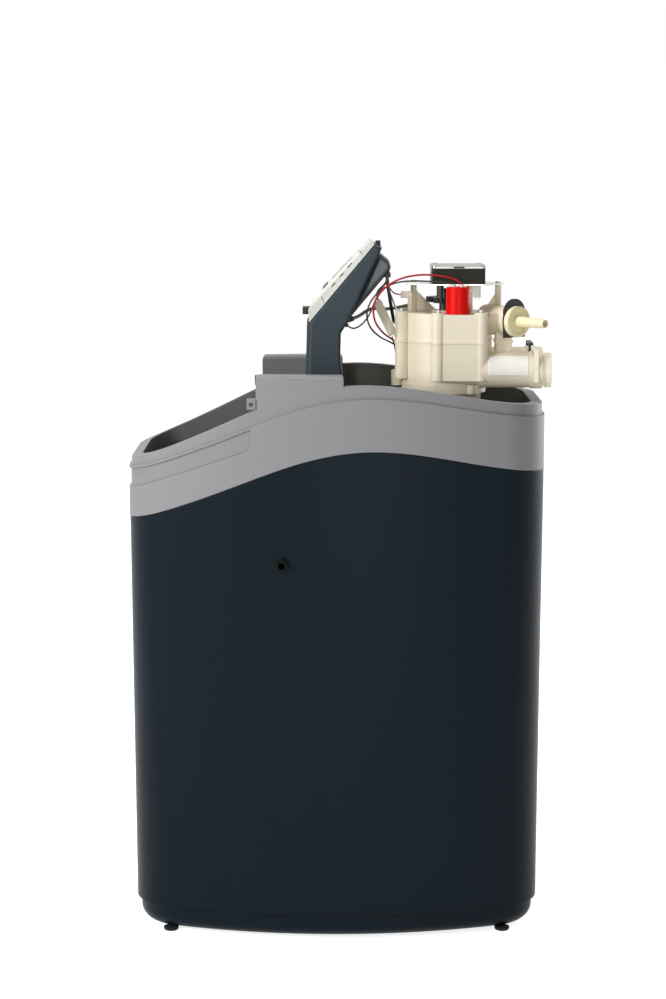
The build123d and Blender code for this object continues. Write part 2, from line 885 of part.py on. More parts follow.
screw_bottom = boss_top - screw_length
with BuildPart() as valve_body:
    with BuildSketch(Plane((valve_x, 0, body_foot))):
        Circle(body_radius)
    extrude(amount=parting - body_foot)
    extrude(body_outline(boss_foot, True), amount=parting - boss_foot)
    for side, neck_start in ((-1, port_neck_start), (1, valve_x)):
        with BuildSketch(port_plane(side, valve_x)):
            Circle(port_start_block)
        extrude(amount=port_end - valve_x)
        with BuildSketch(port_plane(side, neck_start)):
            Circle(port_radius)
        extrude(amount=port_end - neck_start)
        with BuildSketch(port_plane(side, clip_x - clip_width)):
            Circle(port_radius + clip_wire / 2)
        extrude(amount=port_end - clip_x + clip_width)
    with BuildSketch(Plane((web_front + web_length / 2, web_y, port_z))):
        RectangleRounded(web_length, web_width, clip_wire)
    extrude(amount=parting - port_z)
    with BuildSketch(Plane((valve_x, 0, cavity_floor))):
        Circle(cavity_radius)
    extrude(amount=parting - cavity_floor, mode=Mode.SUBTRACT)
    with BuildSketch(Plane((valve_x, 0, body_foot))):
        Circle(riser_radius + running_fit)
    extrude(amount=riser_top + seat_gap - body_foot, mode=Mode.SUBTRACT)
    with BuildSketch(Plane((valve_x, 0, body_foot))):
        Circle(neck_ring_radius + neck_lug_radius)
    extrude(amount=-port_radius, mode=Mode.SUBTRACT)
    for side in (-1, 1):
        with BuildSketch(port_plane(side, port_start)):
            Circle(port_bore)
        extrude(amount=port_end - port_start, mode=Mode.SUBTRACT)
        with BuildSketch(port_plane(side, port_end - socket_depth)):
            Circle(tail_spigot_radius + running_fit)
        extrude(amount=socket_depth, mode=Mode.SUBTRACT)
        with BuildSketch(Plane((valve_x + disc_port_circle, side * disc_port_circle, port_z))):
            Circle(disc_port_radius)
        extrude(amount=cavity_floor - port_z, mode=Mode.SUBTRACT)
        with BuildSketch(port_plane(side, clip_x - clip_width / 2)):
            for slot_side in (-1, 1):
                with Locations((slot_side * clip_reach, 0)):
                    Rectangle(2 * clip_wire, 2 * port_radius)
        extrude(amount=clip_width, mode=Mode.SUBTRACT)
    with BuildSketch(Plane.XY.offset(screw_bottom)):
        with Locations(*boss_places):
            Circle(screw_radius)
    extrude(amount=screw_length, mode=Mode.SUBTRACT)
save(valve_body.part, "valve_body")

for side, clip_name in ((-1, "near_port_clip"), (1, "far_port_clip")):
    with BuildPart() as port_clip:
        with BuildSketch(port_plane(side, clip_x - clip_width / 2 + running_fit)):
            with Locations((0, (clip_top - clip_foot) / 2)):
                RectangleRounded(2 * clip_reach + clip_wire, clip_top + clip_foot, clip_wire)
            with Locations((0, -clip_wire + (clip_top - clip_foot) / 2)):
                Rectangle(2 * clip_reach - clip_wire, clip_top + clip_foot, mode=Mode.SUBTRACT)
            Circle(port_radius + clip_wire / 2 + running_fit, mode=Mode.SUBTRACT)
        extrude(amount=clip_width - 2 * running_fit)
    save(port_clip.part, clip_name)

tail_ends = {-1: tail_end, 1: far_tail_end}
with BuildPart() as port_tails:
    for side, end in tail_ends.items():
        with BuildSketch(port_plane(side, port_end - socket_depth)):
            Circle(tail_spigot_radius)
        extrude(amount=socket_depth)
        with BuildSketch(port_plane(side, port_end)):
            Circle(tail_radius)
        extrude(amount=end - port_end)
        with BuildSketch(port_plane(side, end - tail_collar_length)):
            Circle(tail_collar_radius)
        extrude(amount=tail_collar_length)
        with BuildSketch(port_plane(side, port_end - socket_depth)):
            Circle(tail_bore)
        extrude(amount=end - port_end + socket_depth, mode=Mode.SUBTRACT)
save(port_tails.part, "port_tails")

# Valve cover with the pillars that carry the drive, and the drain boss beside them
drain_axis = unit(drain_angle)
drain_plane = Plane(
    (drain_x, drain_y, drain_z), x_dir=(-drain_axis.Y, drain_axis.X, 0), z_dir=drain_axis
)
cap_back = -drain_cap_thickness
plate_back = cap_back - drain_plate_thickness - seat_gap
boss_start = plate_back - drain_boss_length
with BuildPart() as valve_cover:
    extrude(body_outline(parting, True), amount=cover_top - parting)
    extrude(body_outline(parting, True, parting_lip), amount=parting_lip_height)
    with BuildSketch(Plane.XY.offset(cover_top)):
        with Locations(*boss_places):
            Circle(boss_radius)
        with Locations((valve_x, 0)):
            Circle(spindle_radius + boss_radius)
    extrude(amount=boss_top - cover_top)
    with BuildSketch(drain_plane.offset(boss_start)):
        Circle(drain_boss_radius)
    extrude(amount=drain_boss_length)
    with BuildSketch(Plane((web_front + web_length / 2, web_y, parting))):
        RectangleRounded(web_length, web_width, clip_wire)
    extrude(amount=drain_z - parting)
    with BuildSketch(Plane((web_front + web_length / 2, web_y, parting))):
        RectangleRounded(web_length + 2 * parting_lip, web_width + 2 * parting_lip, clip_wire)
    extrude(amount=parting_lip_height)
    with BuildSketch(Plane.XY.offset(drain_z)):
        with Locations(*pillars):
            Circle(pillar_radius)
    extrude(amount=plate_z - drain_z)
    for (pillar_x, pillar_y), reach in zip(pillars, gusset_reach):
        with BuildSketch(Plane((0, pillar_y, 0), x_dir=(1, 0, 0), z_dir=(0, -1, 0))):
            with BuildLine():
                Polyline(
                    (pillar_x, drain_z),
                    (pillar_x + reach, drain_z),
                    (pillar_x + reach, cover_top),
                    (pillar_x, plate_z - gusset_drop),
                    close=True,
                )
            make_face()
        extrude(amount=gusset_thickness / 2, both=True)
    with BuildSketch(Plane.XY.offset(cover_top)):
        with Locations((cell_x, cell_y)):
            Circle(cell_hub_radius)
    extrude(amount=cell_hub_height)
    with BuildSketch(Plane.XY.offset(cover_top)):
        with Locations((post_x, post_y)):
            Circle(pillar_radius)
    extrude(amount=post_height)
    with BuildSketch(Plane((valve_x, 0, parting))):
        Circle(cavity_radius)
    extrude(amount=cavity_roof - parting, mode=Mode.SUBTRACT)
    with BuildSketch(Plane((valve_x, 0, parting))):
        Circle(spindle_radius + running_fit)
    extrude(amount=boss_top - parting, mode=Mode.SUBTRACT)
    with BuildSketch(Plane.XY.offset(parting)):
        with Locations(*boss_places):
            Circle(screw_radius)
    extrude(amount=boss_top - parting, mode=Mode.SUBTRACT)
    with BuildSketch(drain_plane.offset(plate_back)):
        Circle(drain_socket_radius + running_fit)
    extrude(amount=-drain_socket_depth, mode=Mode.SUBTRACT)
save(valve_cover.part, "valve_cover")

# Screws of the cover and of the motor plate, with the earth ring under the screw beside the column
plate_top = plate_z + plate_thickness
ring_place = boss_places[ring_boss]
barrel_way = Vector(-math.sin(math.radians(barrel_lean)), 0, math.cos(math.radians(barrel_lean)))
barrel_foot = Vector(ring_place.X - ring_radius - tongue_length, ring_place.Y, boss_top + tongue_width / 2)
barrel_top = barrel_foot + barrel_length * barrel_way
with BuildPart() as valve_screws:
    with BuildSketch(Plane.XY.offset(screw_bottom)):
        with Locations(*boss_places):
            Circle(screw_radius - running_fit)
    extrude(amount=screw_length)
    with BuildSketch(Plane.XY.offset(boss_top)):
        with Locations(*boss_places):
            Circle(screw_head_radius)
    extrude(amount=screw_head_height)
    with BuildSketch(Plane.XY.offset(boss_top + screw_head_height)):
        with Locations(*boss_places):
            RegularPolygon(screw_socket_radius, 6)
    extrude(amount=-screw_head_height / 2, mode=Mode.SUBTRACT)
    with BuildSketch(Plane.XY.offset(plate_top)):
        with Locations(*pillars[:2]):
            Circle(screw_head_radius)
    extrude(amount=screw_head_height / 2)
    with BuildSketch(Plane.XY.offset(plate_z)):
        with Locations(*pillars[:2]):
            Circle(plate_screw_radius)
    extrude(amount=plate_thickness)
    with BuildSketch(Plane.XY.offset(boss_top)):
        with Locations(ring_place):
            Circle(ring_radius)
        with Locations((ring_place.X - (ring_radius + tongue_length) / 2, ring_place.Y)):
            Rectangle(ring_radius + tongue_length, tongue_width)
    extrude(amount=ring_thickness)
    with BuildSketch(Plane(barrel_foot, z_dir=barrel_way)):
        Circle(tongue_width / 2)
    extrude(amount=barrel_length)
save(valve_screws.part, "valve_screws")

# Drain fitting and the plate that holds it in its boss
with BuildPart() as drain_plate:
    with BuildSketch(drain_plane.offset(cap_back - drain_plate_thickness)):
        with Locations((0, drain_plate_lift)):
            SlotCenterToCenter(
                drain_plate_height - drain_plate_width, drain_plate_width, rotation=90
            )
        with Locations((0, drain_plate_lift - drain_plate_height / 2)):
            Rectangle(drain_plate_width, drain_plate_width, align=(Align.CENTER, Align.MIN))
        Circle(drain_socket_radius + running_fit, mode=Mode.SUBTRACT)
    extrude(amount=drain_plate_thickness)
save(drain_plate.part, "drain_plate")

cap_radii = (drain_cap_radius, drain_cap_radius - drain_cap_rim)
with BuildPart() as drain_fitting:
    with BuildSketch(drain_plane.offset(cap_back)):
        Circle(cap_radii[0])
    extrude(amount=drain_cap_thickness)
    with BuildSketch(drain_plane.offset(-drain_cap_recess)):
        Circle(cap_radii[1])
    extrude(amount=drain_cap_recess, mode=Mode.SUBTRACT)
    with BuildSketch(drain_plane.offset(plate_back - drain_socket_depth + seat_gap)):
        Circle(drain_socket_radius)
    extrude(amount=cap_back - plate_back + drain_socket_depth - seat_gap)
    with BuildSketch(Plane(drain_plane.origin, x_dir=drain_axis, z_dir=(0, 0, 1))):
        with BuildLine():
            ridge = barb_length / (2 * barb_ridges + 2)
            points = [(-drain_cap_recess, 0), (-drain_cap_recess, barb_radius)]
            for index in range(barb_ridges):
                start = barb_length - (2 * barb_ridges - 2 * index) * ridge
                taper = barb_radius + (barb_tip_radius - barb_radius) * start / barb_length
                points.append((start, taper - barb_ridge))
                points.append((start, taper))
                points.append((start + ridge, taper - barb_ridge))
            points += [(barb_length, barb_tip_radius - barb_ridge), (barb_length, 0)]
            Polyline(*points, close=True)
        make_face()
    revolve(axis=Axis(drain_plane.origin, drain_axis))
    with BuildSketch(drain_plane.offset(plate_back - drain_socket_depth)):
        Circle(barb_bore)
    extrude(amount=barb_length - plate_back + drain_socket_depth, mode=Mode.SUBTRACT)
save(drain_fitting.part, "drain_fitting")

# Chlorine cell cap with its two terminals
with BuildPart() as cell_cap:
    with BuildSketch(Plane((cell_x, cell_y, cover_top + seat_gap))):
        Circle(cell_cap_radius)
    extrude(amount=cell_cap_height)
    fillet(cell_cap.edges().group_by(Axis.Z)[-1], cell_cap_round)
    with BuildSketch(Plane((cell_x, cell_y, cover_top + seat_gap))):
        Circle(cell_hub_radius + running_fit)
    extrude(amount=cell_hub_height, mode=Mode.SUBTRACT)
save(cell_cap.part, "cell_cap")

cap_top = cover_top + seat_gap + cell_cap_height
terminal_places = [(cell_x - terminal_pitch, cell_y + terminal_step), (cell_x + terminal_shift, cell_y)]
with BuildPart() as cell_terminals:
    with BuildSketch(Plane.XY.offset(cap_top)):
        with Locations(*terminal_places):
            Circle(terminal_radius)
    extrude(amount=terminal_height)
save(cell_terminals.part, "cell_terminals")

# Discs, spindle and gears
with BuildPart() as fixed_disc:
    with BuildSketch(Plane((valve_x, 0, cavity_floor))):
        Circle(disc_radius)
        with Locations(*[(disc_port_circle, side * disc_port_circle) for side in (-1, 1)]):
            Circle(disc_port_radius, mode=Mode.SUBTRACT)
        with Locations((-disc_port_circle, 0)):
            Circle(disc_port_radius, mode=Mode.SUBTRACT)
    extrude(amount=disc_thickness)
save(fixed_disc.part, "fixed_disc")

rotor_bottom = cavity_floor + disc_thickness + disc_gap
with BuildPart() as rotor_disc:
    with BuildSketch(Plane((valve_x, 0, rotor_bottom))):
        Circle(rotor_radius)
        with PolarLocations(disc_port_circle, 2, start_angle=45):
            RectangleRounded(
                2 * disc_port_radius, 2 * disc_port_radius, disc_port_radius / 2, mode=Mode.SUBTRACT
            )
    extrude(amount=disc_thickness)
    with BuildSketch(Plane((valve_x, 0, rotor_bottom + disc_thickness))):
        Circle(rotor_hub_radius_disc)
    extrude(amount=rotor_hub_height)
save(rotor_disc.part, "rotor_disc")

spindle_bottom = rotor_bottom + disc_thickness + rotor_hub_height
with BuildPart() as spindle:
    with BuildSketch(Plane((valve_x, 0, spindle_bottom))):
        Circle(spindle_radius)
    extrude(amount=spindle_top - spindle_bottom)
    chamfer(spindle.edges().group_by(Axis.Z)[-1], spindle_radius / 6)
    with BuildSketch(Plane((valve_x, 0, spindle_top))):
        Rectangle(spindle_radius, spindle_radius / 4)
    extrude(amount=-spindle_radius / 3, mode=Mode.SUBTRACT)
save(spindle.part, "spindle")


def gear_outline(teeth, phase):
    """A gear's outline about the origin, with straight-flanked teeth."""
    pitch_radius = gear_module * teeth / 2
    root = pitch_radius - gear_root_share * gear_module
    tip = pitch_radius + gear_tip_share * gear_module
    step = 360 / teeth
    flank = (
        (root, -tooth_root_share),
        (tip, -tooth_tip_share),
        (tip, tooth_tip_share),
        (root, tooth_root_share),
    )
    points = []
    for tooth in range(teeth):
        points += [radius * unit(phase + (tooth + share) * step) for radius, share in flank]
    with BuildSketch() as outline:
        with BuildLine():
            Polyline(*points, close=True)
        make_face()
    return outline.sketch


centre_distance = gear_module * (gear_teeth + pinion_teeth) / 2 + gear_backlash
pinion_y = -math.sqrt(centre_distance**2 - (pinion_x - valve_x) ** 2)
mesh_angle = math.degrees(math.atan2(pinion_y, pinion_x - valve_x))
with BuildPart() as drive_gear:
    with BuildSketch(Plane((valve_x, 0, gear_z))):
        add(gear_outline(gear_teeth, mesh_angle))
        Circle(spindle_radius, mode=Mode.SUBTRACT)
        with PolarLocations(gear_hole_circle, 6):
            Circle(gear_hole_radius, mode=Mode.SUBTRACT)
    extrude(amount=gear_width)
save(drive_gear.part, "drive_gear")

with BuildPart() as motor_pinion:
    with BuildSketch(Plane((pinion_x, pinion_y, gear_z))):
        add(gear_outline(pinion_teeth, mesh_angle + 180 + 180 / pinion_teeth))
    extrude(amount=gear_width)
    with BuildSketch(Plane((pinion_x, pinion_y, gear_z + gear_width))):
        Circle(pinion_hub_radius)
    extrude(amount=plate_z - gear_z - gear_width - disc_gap)
    with BuildSketch(Plane((pinion_x, pinion_y, plate_z - disc_gap))):
        Circle(pinion_shaft_radius)
    extrude(amount=plate_thickness + pinion_shaft_depth)
save(motor_pinion.part, "motor_pinion")

# Motor plate, gear motor and position switch
plate_outline = (
    (plate_left, motor_y - plate_left_half),
    (motor_left - plate_round, motor_y - plate_middle_half),
    (plate_middle, motor_y - plate_middle_half),
    (plate_right, motor_y - plate_right_half),
    (plate_right, motor_y + plate_round),
    (plate_middle, motor_y + plate_middle_half),
    (motor_left - plate_round, motor_y + plate_middle_half),
    (plate_left, motor_y + plate_middle_half - plate_round),
)
with BuildPart() as motor_plate:
    with BuildSketch(Plane.XY.offset(plate_z)) as plate_sketch:
        with BuildLine():
            Polyline(*plate_outline, close=True)
        make_face()
        fillet(plate_sketch.vertices(), plate_round / 2)
        with Locations((pinion_x, pinion_y)):
            Circle(pinion_shaft_radius + seat_gap, mode=Mode.SUBTRACT)
        with Locations(*pillars[:2]):
            Circle(plate_screw_radius, mode=Mode.SUBTRACT)
    extrude(amount=plate_thickness)
save(motor_plate.part, "motor_plate")

motor_x = (motor_left + motor_right) / 2
motor_length = motor_right - motor_left
with BuildPart() as gear_motor:
    with BuildSketch(Plane((motor_x, motor_y, plate_top))):
        RectangleRounded(motor_length, 2 * motor_half_width, motor_round)
    extrude(amount=motor_height)
    with BuildSketch(Plane((pinion_x, pinion_y, plate_top))):
        Circle(pinion_shaft_radius + running_fit)
    extrude(amount=pinion_shaft_depth + seat_gap, mode=Mode.SUBTRACT)
save(gear_motor.part, "gear_motor")

with BuildPart() as motor_can:
    with BuildSketch(Plane((motor_x, motor_y, plate_top + motor_height))):
        RectangleRounded(motor_length + 2 * can_lip, 2 * (motor_half_width + can_lip), motor_round + can_lip)
    extrude(amount=can_height)
    fillet(motor_can.edges().group_by(Axis.Z)[-1], can_lip)
    tab_x = motor_left - can_lip / 2 - seat_gap / 2
    with BuildSketch(Plane((tab_x, motor_y - motor_half_width / 2, plate_top + motor_height - can_tab_drop))):
        Rectangle(can_lip - seat_gap, can_tab_width)
    extrude(amount=can_tab_drop)
save(motor_can.part, "motor_can")

with BuildPart() as position_switch:
    with BuildSketch(Plane((switch_x, switch_y, plate_z - switch_height))):
        RectangleRounded(switch_length, switch_width, cell_cap_round)
    extrude(amount=switch_height)
    with BuildSketch(Plane((switch_x, switch_y, plate_z - switch_height - pin_length))):
        with GridLocations(switch_length / 3, 0, 3, 1):
            Rectangle(pin_width, pin_width)
    extrude(amount=pin_length)
save(position_switch.part, "position_switch")

# Sensor plug beside the valve and the socket that carries it
with BuildPart() as sensor_plug:
    with BuildSketch(Plane((plug_left, plug_y, plug_z), x_dir=(0, 1, 0), z_dir=(1, 0, 0))):
        RectangleRounded(plug_width, plug_height, cell_cap_round)
    extrude(amount=plug_right - plug_left)
    with BuildSketch(Plane((plug_right - plug_foot_length, plug_y, cover_top))):
        Rectangle(plug_foot_length, plug_width / 2, align=(Align.MIN, Align.CENTER))
    extrude(amount=plug_z - cover_top)
save(sensor_plug.part, "sensor_plug")

# Turbine meter in the near port
meter_plane = port_plane(-1, turbine_x)
with BuildPart() as turbine_cage:
    with BuildSketch(meter_plane):
        Circle(port_bore - running_fit)
        Circle(port_bore - running_fit - cage_wall, mode=Mode.SUBTRACT)
    extrude(amount=cage_length)
    for spider_x in (turbine_x, turbine_x + cage_length - spider_thickness):
        with BuildSketch(port_plane(-1, spider_x)):
            with PolarLocations((port_bore - cage_wall) / 2, spider_arms, start_angle=90):
                Rectangle(port_bore - cage_wall, spider_width)
            Circle(spider_hub_radius)
            Circle(rotor_pin_radius + running_fit, mode=Mode.SUBTRACT)
        extrude(amount=spider_thickness)
save(turbine_cage.part, "turbine_cage")

rotor_start = turbine_x + (cage_length - rotor_length) / 2
with BuildPart() as turbine_rotor:
    with BuildSketch(port_plane(-1, rotor_start)):
        Circle(rotor_hub_radius)
    extrude(amount=rotor_length)
    with BuildSketch(port_plane(-1, turbine_x + running_fit)):
        Circle(rotor_pin_radius)
    extrude(amount=cage_length - 2 * running_fit)
    blade_span = rotor_tip_radius - rotor_hub_radius / 2
    for index in range(blade_count):
        radial = Plane(
            (turbine_x + cage_length / 2, -port_spacing / 2, port_z), x_dir=(1, 0, 0), z_dir=(0, 0, 1)
        ).rotated((index * 360 / blade_count, 0, 0))
        with BuildSketch(radial.offset(rotor_hub_radius / 2)):
            Rectangle(blade_chord, blade_thickness, rotation=blade_pitch)
        extrude(amount=blade_span)
save(turbine_rotor.part, "turbine_rotor")

# Elbow that takes the brine line into the side of the valve
stub_plane = Plane((elbow_place.X, elbow_place.Y, elbow_stub_z), z_dir=(-elbow_axis.X, -elbow_axis.Y, 0))
with BuildPart() as brine_elbow:
    with BuildSketch(Plane((elbow_place.X, elbow_place.Y, elbow_foot))):
        Circle(elbow_radius)
    extrude(amount=elbow_height)
    fillet(brine_elbow.edges().group_by(Axis.Z)[-1], elbow_radius / 3)
    with BuildSketch(stub_plane):
        Circle(elbow_stub_radius)
    extrude(amount=elbow_circle - cavity_radius)
    with BuildSketch(Plane((valve_x, 0, elbow_foot))):
        Circle(body_radius)
    extrude(amount=elbow_height, mode=Mode.SUBTRACT)
    with BuildSketch(Plane((elbow_place.X, elbow_place.Y, elbow_foot))):
        Circle(line_radius + running_fit)
    extrude(amount=elbow_socket_depth, mode=Mode.SUBTRACT)
save(brine_elbow.part, "brine_elbow")

# Control column and head, drawn from the side and carried across
slope = unit(panel_angle)
out_way = unit(panel_angle + 90)
foot_x = column_front + column_lean
column_back = column_front + column_depth
panel_plane = Plane((foot_x, 0, panel_foot), x_dir=(slope.X, 0, slope.Y), z_dir=(out_way.X, 0, out_way.Y))
side_plane = Plane((0, 0, 0), x_dir=(1, 0, 0), z_dir=(0, -1, 0))


def on_side(along, out=0):
    """A point of the side view, from its place along the panel and out of it."""
    point = Vector(foot_x, panel_foot) + along * slope + out * out_way
    return (point.X, point.Y)


def side_block(points, half):
    """A side-view outline carried across, half to each side."""
    with BuildPart() as block:
        with BuildSketch(side_plane):
            with BuildLine():
                Polyline(*points, close=True)
            make_face()
        extrude(amount=half, both=True)
    return block.part


panel_top = Vector(*on_side(panel_length))
head_top = panel_top + panel_top_thickness * unit(panel_top_angle)
housing_outline = (
    (column_front, beam_top),
    (foot_x, panel_foot),
    (panel_top.X, panel_top.Y),
    (head_top.X, head_top.Y),
    (head_back_x, head_back_z),
    (column_back - column_waist + neck_step, neck_back_z),
    (column_back - column_waist, waist_z),
    (column_back, waist_foot_z),
    (column_back, beam_top),
)
with BuildPart() as control_housing:
    add(side_block(housing_outline, column_half_width))
    flanks = control_housing.faces().sort_by(Axis.Y)
    flank_edges = flanks[0].edges() + flanks[-1].edges()
    fillet(flank_edges.sort_by(Axis.Z)[2:], column_round)
    with BuildSketch(panel_plane):
        with Locations((pocket_start + pocket_length / 2, 0)):
            RectangleRounded(pocket_length, 2 * pocket_half_width, column_round)
    extrude(amount=-pocket_depth, mode=Mode.SUBTRACT)
    with BuildSketch(Plane(((column_front + column_back) / 2, 0, beam_top))):
        RectangleRounded(duct_length, duct_width, column_round)
    extrude(amount=panel_foot - beam_top, mode=Mode.SUBTRACT)
save(control_housing.part, "control_housing")

module_outline = (
    on_side(module_start, -module_thickness),
    on_side(module_end, -module_thickness),
    on_side(module_end, -panel_top_thickness),
)
with BuildPart() as rear_module:
    add(side_block(module_outline, module_half_width))
    far_corner = Vector(module_outline[1][0], 0, module_outline[1][1])
    fillet(rear_module.edges().filter_by(Axis.Y).sort_by_distance(far_corner)[0], module_corner)
    flanks = rear_module.faces().sort_by(Axis.Y)
    fillet(flanks[0].edges() + flanks[-1].edges(), module_round)
    add(side_block(housing_outline, 2 * column_half_width), mode=Mode.SUBTRACT)
save(rear_module.part, "rear_module")

lean_rate = column_lean / (panel_foot - beam_top)
strip_x = column_front + lean_rate * (strip_foot - beam_top)
strip_outline = (
    (strip_x - strip_thickness, strip_foot),
    (foot_x - strip_thickness, panel_foot),
    (foot_x, panel_foot),
    (strip_x, strip_foot),
)
with BuildPart() as column_strip:
    add(side_block(strip_outline, strip_half_width))
save(column_strip.part, "column_strip")

# White bezel on the panel, and the display cover that stands in its pocket
bezel_outline = (
    on_side(0),
    on_side(bezel_low_start, bezel_low_thickness),
    on_side(panel_length, bezel_high_thickness),
    on_side(panel_length),
)
pocket_outline = (
    on_side(cover_start - cover_gap, cover_floor),
    on_side(cover_start + cover_lean - cover_gap, cover_low_thickness),
    on_side(cover_end + cover_lean + cover_gap, cover_low_thickness),
    on_side(cover_end + cover_lean + cover_gap, cover_high_thickness),
    on_side(cover_end + cover_gap, cover_floor),
)
with BuildPart() as display_bezel:
    add(side_block(bezel_outline, bezel_half_width))
    along_panel = Axis(panel_plane.origin, panel_plane.z_dir)
    fillet(display_bezel.edges().filter_by(Axis.Y).sort_by(along_panel)[-2:], bezel_round)
    add(side_block(pocket_outline, 2 * bezel_half_width), mode=Mode.SUBTRACT)
    with BuildSketch(panel_plane):
        with Locations((pocket_start + pocket_length / 2, 0)):
            RectangleRounded(pocket_length, 2 * pocket_half_width, column_round)
    extrude(amount=bezel_low_thickness, mode=Mode.SUBTRACT)
save(display_bezel.part, "display_bezel")

cover_outline = (
    on_side(cover_start, cover_floor),
    on_side(cover_start + cover_lean, cover_low_thickness),
    on_side(cover_end + cover_lean, cover_high_thickness),
    on_side(cover_end, cover_floor),
)
cover_hollow = (
    on_side(cover_start + cover_shell, cover_floor),
    on_side(cover_start + cover_lean + cover_shell, cover_low_thickness - cover_shell),
    on_side(cover_end + cover_lean - cover_shell, cover_high_thickness - cover_shell),
    on_side(cover_end - cover_shell, cover_floor),
)
cover_low = Vector(*cover_outline[1])
cover_line = (Vector(*cover_outline[2]) - cover_low).normalized()
cover_plane = Plane(
    (cover_low.X, 0, cover_low.Y),
    x_dir=(cover_line.X, 0, cover_line.Y),
    z_dir=(-cover_line.Y, 0, cover_line.X),
)
key_places = [(key_place, (index - (key_count - 1) / 2) * key_pitch) for index in range(key_count)]
with BuildPart() as display_cover:
    add(side_block(cover_outline, cover_half_width))
    cover_face = display_cover.faces().sort_by(Axis(cover_plane.origin, cover_plane.z_dir))[-1]
    fillet(cover_face.edges(), cover_round)
    add(side_block(cover_hollow, cover_half_width - cover_shell), mode=Mode.SUBTRACT)
    with BuildSketch(cover_plane):
        with Locations((window_place, 0)):
            RectangleRounded(window_length, window_width, cover_round)
        with Locations(*key_places):
            Circle(key_radius + running_fit)
    extrude(amount=-2 * cover_shell, mode=Mode.SUBTRACT)
    with BuildSketch(panel_plane.offset(latch_slot_height)):
        with Locations((latch_slot_centre, 0)):
            with GridLocations(latch_slot_pitch, 2 * cover_half_width, 3, 2):
                Rectangle(latch_slot_length, 2 * cover_round)
    extrude(amount=latch_slot_width, mode=Mode.SUBTRACT)
save(display_cover.part, "display_cover")

with BuildPart() as display_lens:
    with BuildSketch(cover_plane.offset(-cover_shell - lens_seat)):
        with Locations((window_place, 0)):
            RectangleRounded(window_length + 2 * lens_rim, window_width + 2 * lens_rim, cover_round)
    extrude(amount=-lens_thickness)
    with BuildSketch(cover_plane.offset(-cover_shell - lens_seat)):
        with Locations((window_place, 0)):
            RectangleRounded(window_length - 2 * running_fit, window_width - 2 * running_fit, cover_round)
    extrude(amount=cover_shell + lens_seat - lens_recess)
save(display_lens.part, "display_lens")

# Circuit board on posts in the housing's pocket, with the display block and a switch under each key
board_middle = board_start + board_length / 2
display_middle = cover_start + cover_lean + window_place
with BuildPart() as circuit_board:
    with BuildSketch(panel_plane):
        with Locations((board_middle, 0)):
            Rectangle(board_length, board_width)
    extrude(amount=board_thickness)
    with BuildSketch(panel_plane.offset(-pocket_depth)):
        with Locations((board_middle, 0)):
            with GridLocations(
                board_length - 4 * board_post_radius, board_width - 4 * board_post_radius, 2, 2
            ):
                Circle(board_post_radius)
    extrude(amount=pocket_depth)
    with BuildSketch(panel_plane.offset(board_thickness)):
        with Locations((display_middle, 0)):
            Rectangle(window_length, window_width)
    extrude(amount=display_height)
    with BuildSketch(panel_plane.offset(board_thickness)):
        with Locations(*[(cover_start + cover_lean + along, across) for along, across in key_places]):
            Rectangle(switch_body, switch_body)
    extrude(amount=switch_body_height)
save(circuit_board.part, "circuit_board")


def display_key(place):
    """A push key: the button, the flange that holds it in and the stem that meets its switch."""
    with BuildPart() as key:
        with BuildSketch(cover_plane.offset(key_stand)):
            with Locations(place):
                Circle(key_radius)
        extrude(amount=-key_stand - cover_shell - seat_gap)
        chamfer(key.edges().sort_by(Axis(cover_plane.origin, cover_plane.z_dir))[-1], key_stand / 3)
        with BuildSketch(cover_plane.offset(-cover_shell - seat_gap)):
            with Locations(place):
                Circle(key_radius + key_flange)
        extrude(amount=-key_flange_thickness)
        with BuildSketch(cover_plane.offset(-cover_shell - seat_gap - key_flange_thickness)):
            with Locations(place):
                Circle(key_stem_radius)
        extrude(amount=-key_stem_radius)
    return key.part


for place, key_name in zip(key_places, ("near_key", "middle_key", "far_key")):
    save(display_key(place), key_name)

# Catches at the foot and the top of the panel
with BuildPart() as cover_catches:
    with BuildSketch(side_plane):
        with Locations((low_catch_front, low_catch_z)):
            Rectangle(low_catch_back - low_catch_front, low_catch_height, align=(Align.MIN, Align.MIN))
    extrude(amount=low_catch_width / 2, both=True)
    with BuildSketch(side_plane):
        with Locations((high_catch_front, high_catch_foot)):
            Rectangle(
                high_catch_back - high_catch_front,
                high_catch_top - high_catch_foot,
                align=(Align.MIN, Align.MIN),
            )
    extrude(amount=high_catch_width / 2, both=True)
    add(side_block(bezel_outline, bezel_half_width), mode=Mode.SUBTRACT)
    add(side_block(housing_outline, column_half_width), mode=Mode.SUBTRACT)
save(cover_catches.part, "cover_catches")

# Hooded cable outlet on the back of the head and the two glands at the neck
outlet_top = Vector(*on_side(outlet_place, -module_thickness))
outlet_foot_x = outlet_top.X - outlet_height / math.tan(math.radians(panel_angle))
outlet_z = outlet_top.Y - outlet_height
outlet_outline = (
    (outlet_top.X, outlet_top.Y),
    (outlet_top.X + outlet_lip, outlet_z + outlet_height / 2),
    (outlet_top.X + outlet_lip, outlet_z),
    (outlet_foot_x, outlet_z),
)
neck_low, neck_high = Vector(*housing_outline[5]), Vector(*housing_outline[4])
neck_line = neck_high - neck_low
neck_out = Vector(neck_line.Y, -neck_line.X).normalized()
lead_place = neck_low + lead_gland_place * neck_line
lead_plane = Plane((lead_place.X, lead_gland_y, lead_place.Y), z_dir=(neck_out.X, 0, neck_out.Y))
cable_out = unit(cable_gland_angle)
cable_plane = Plane((cable_gland_x, cable_gland_y, cable_gland_z), z_dir=(cable_out.X, 0, cable_out.Y))
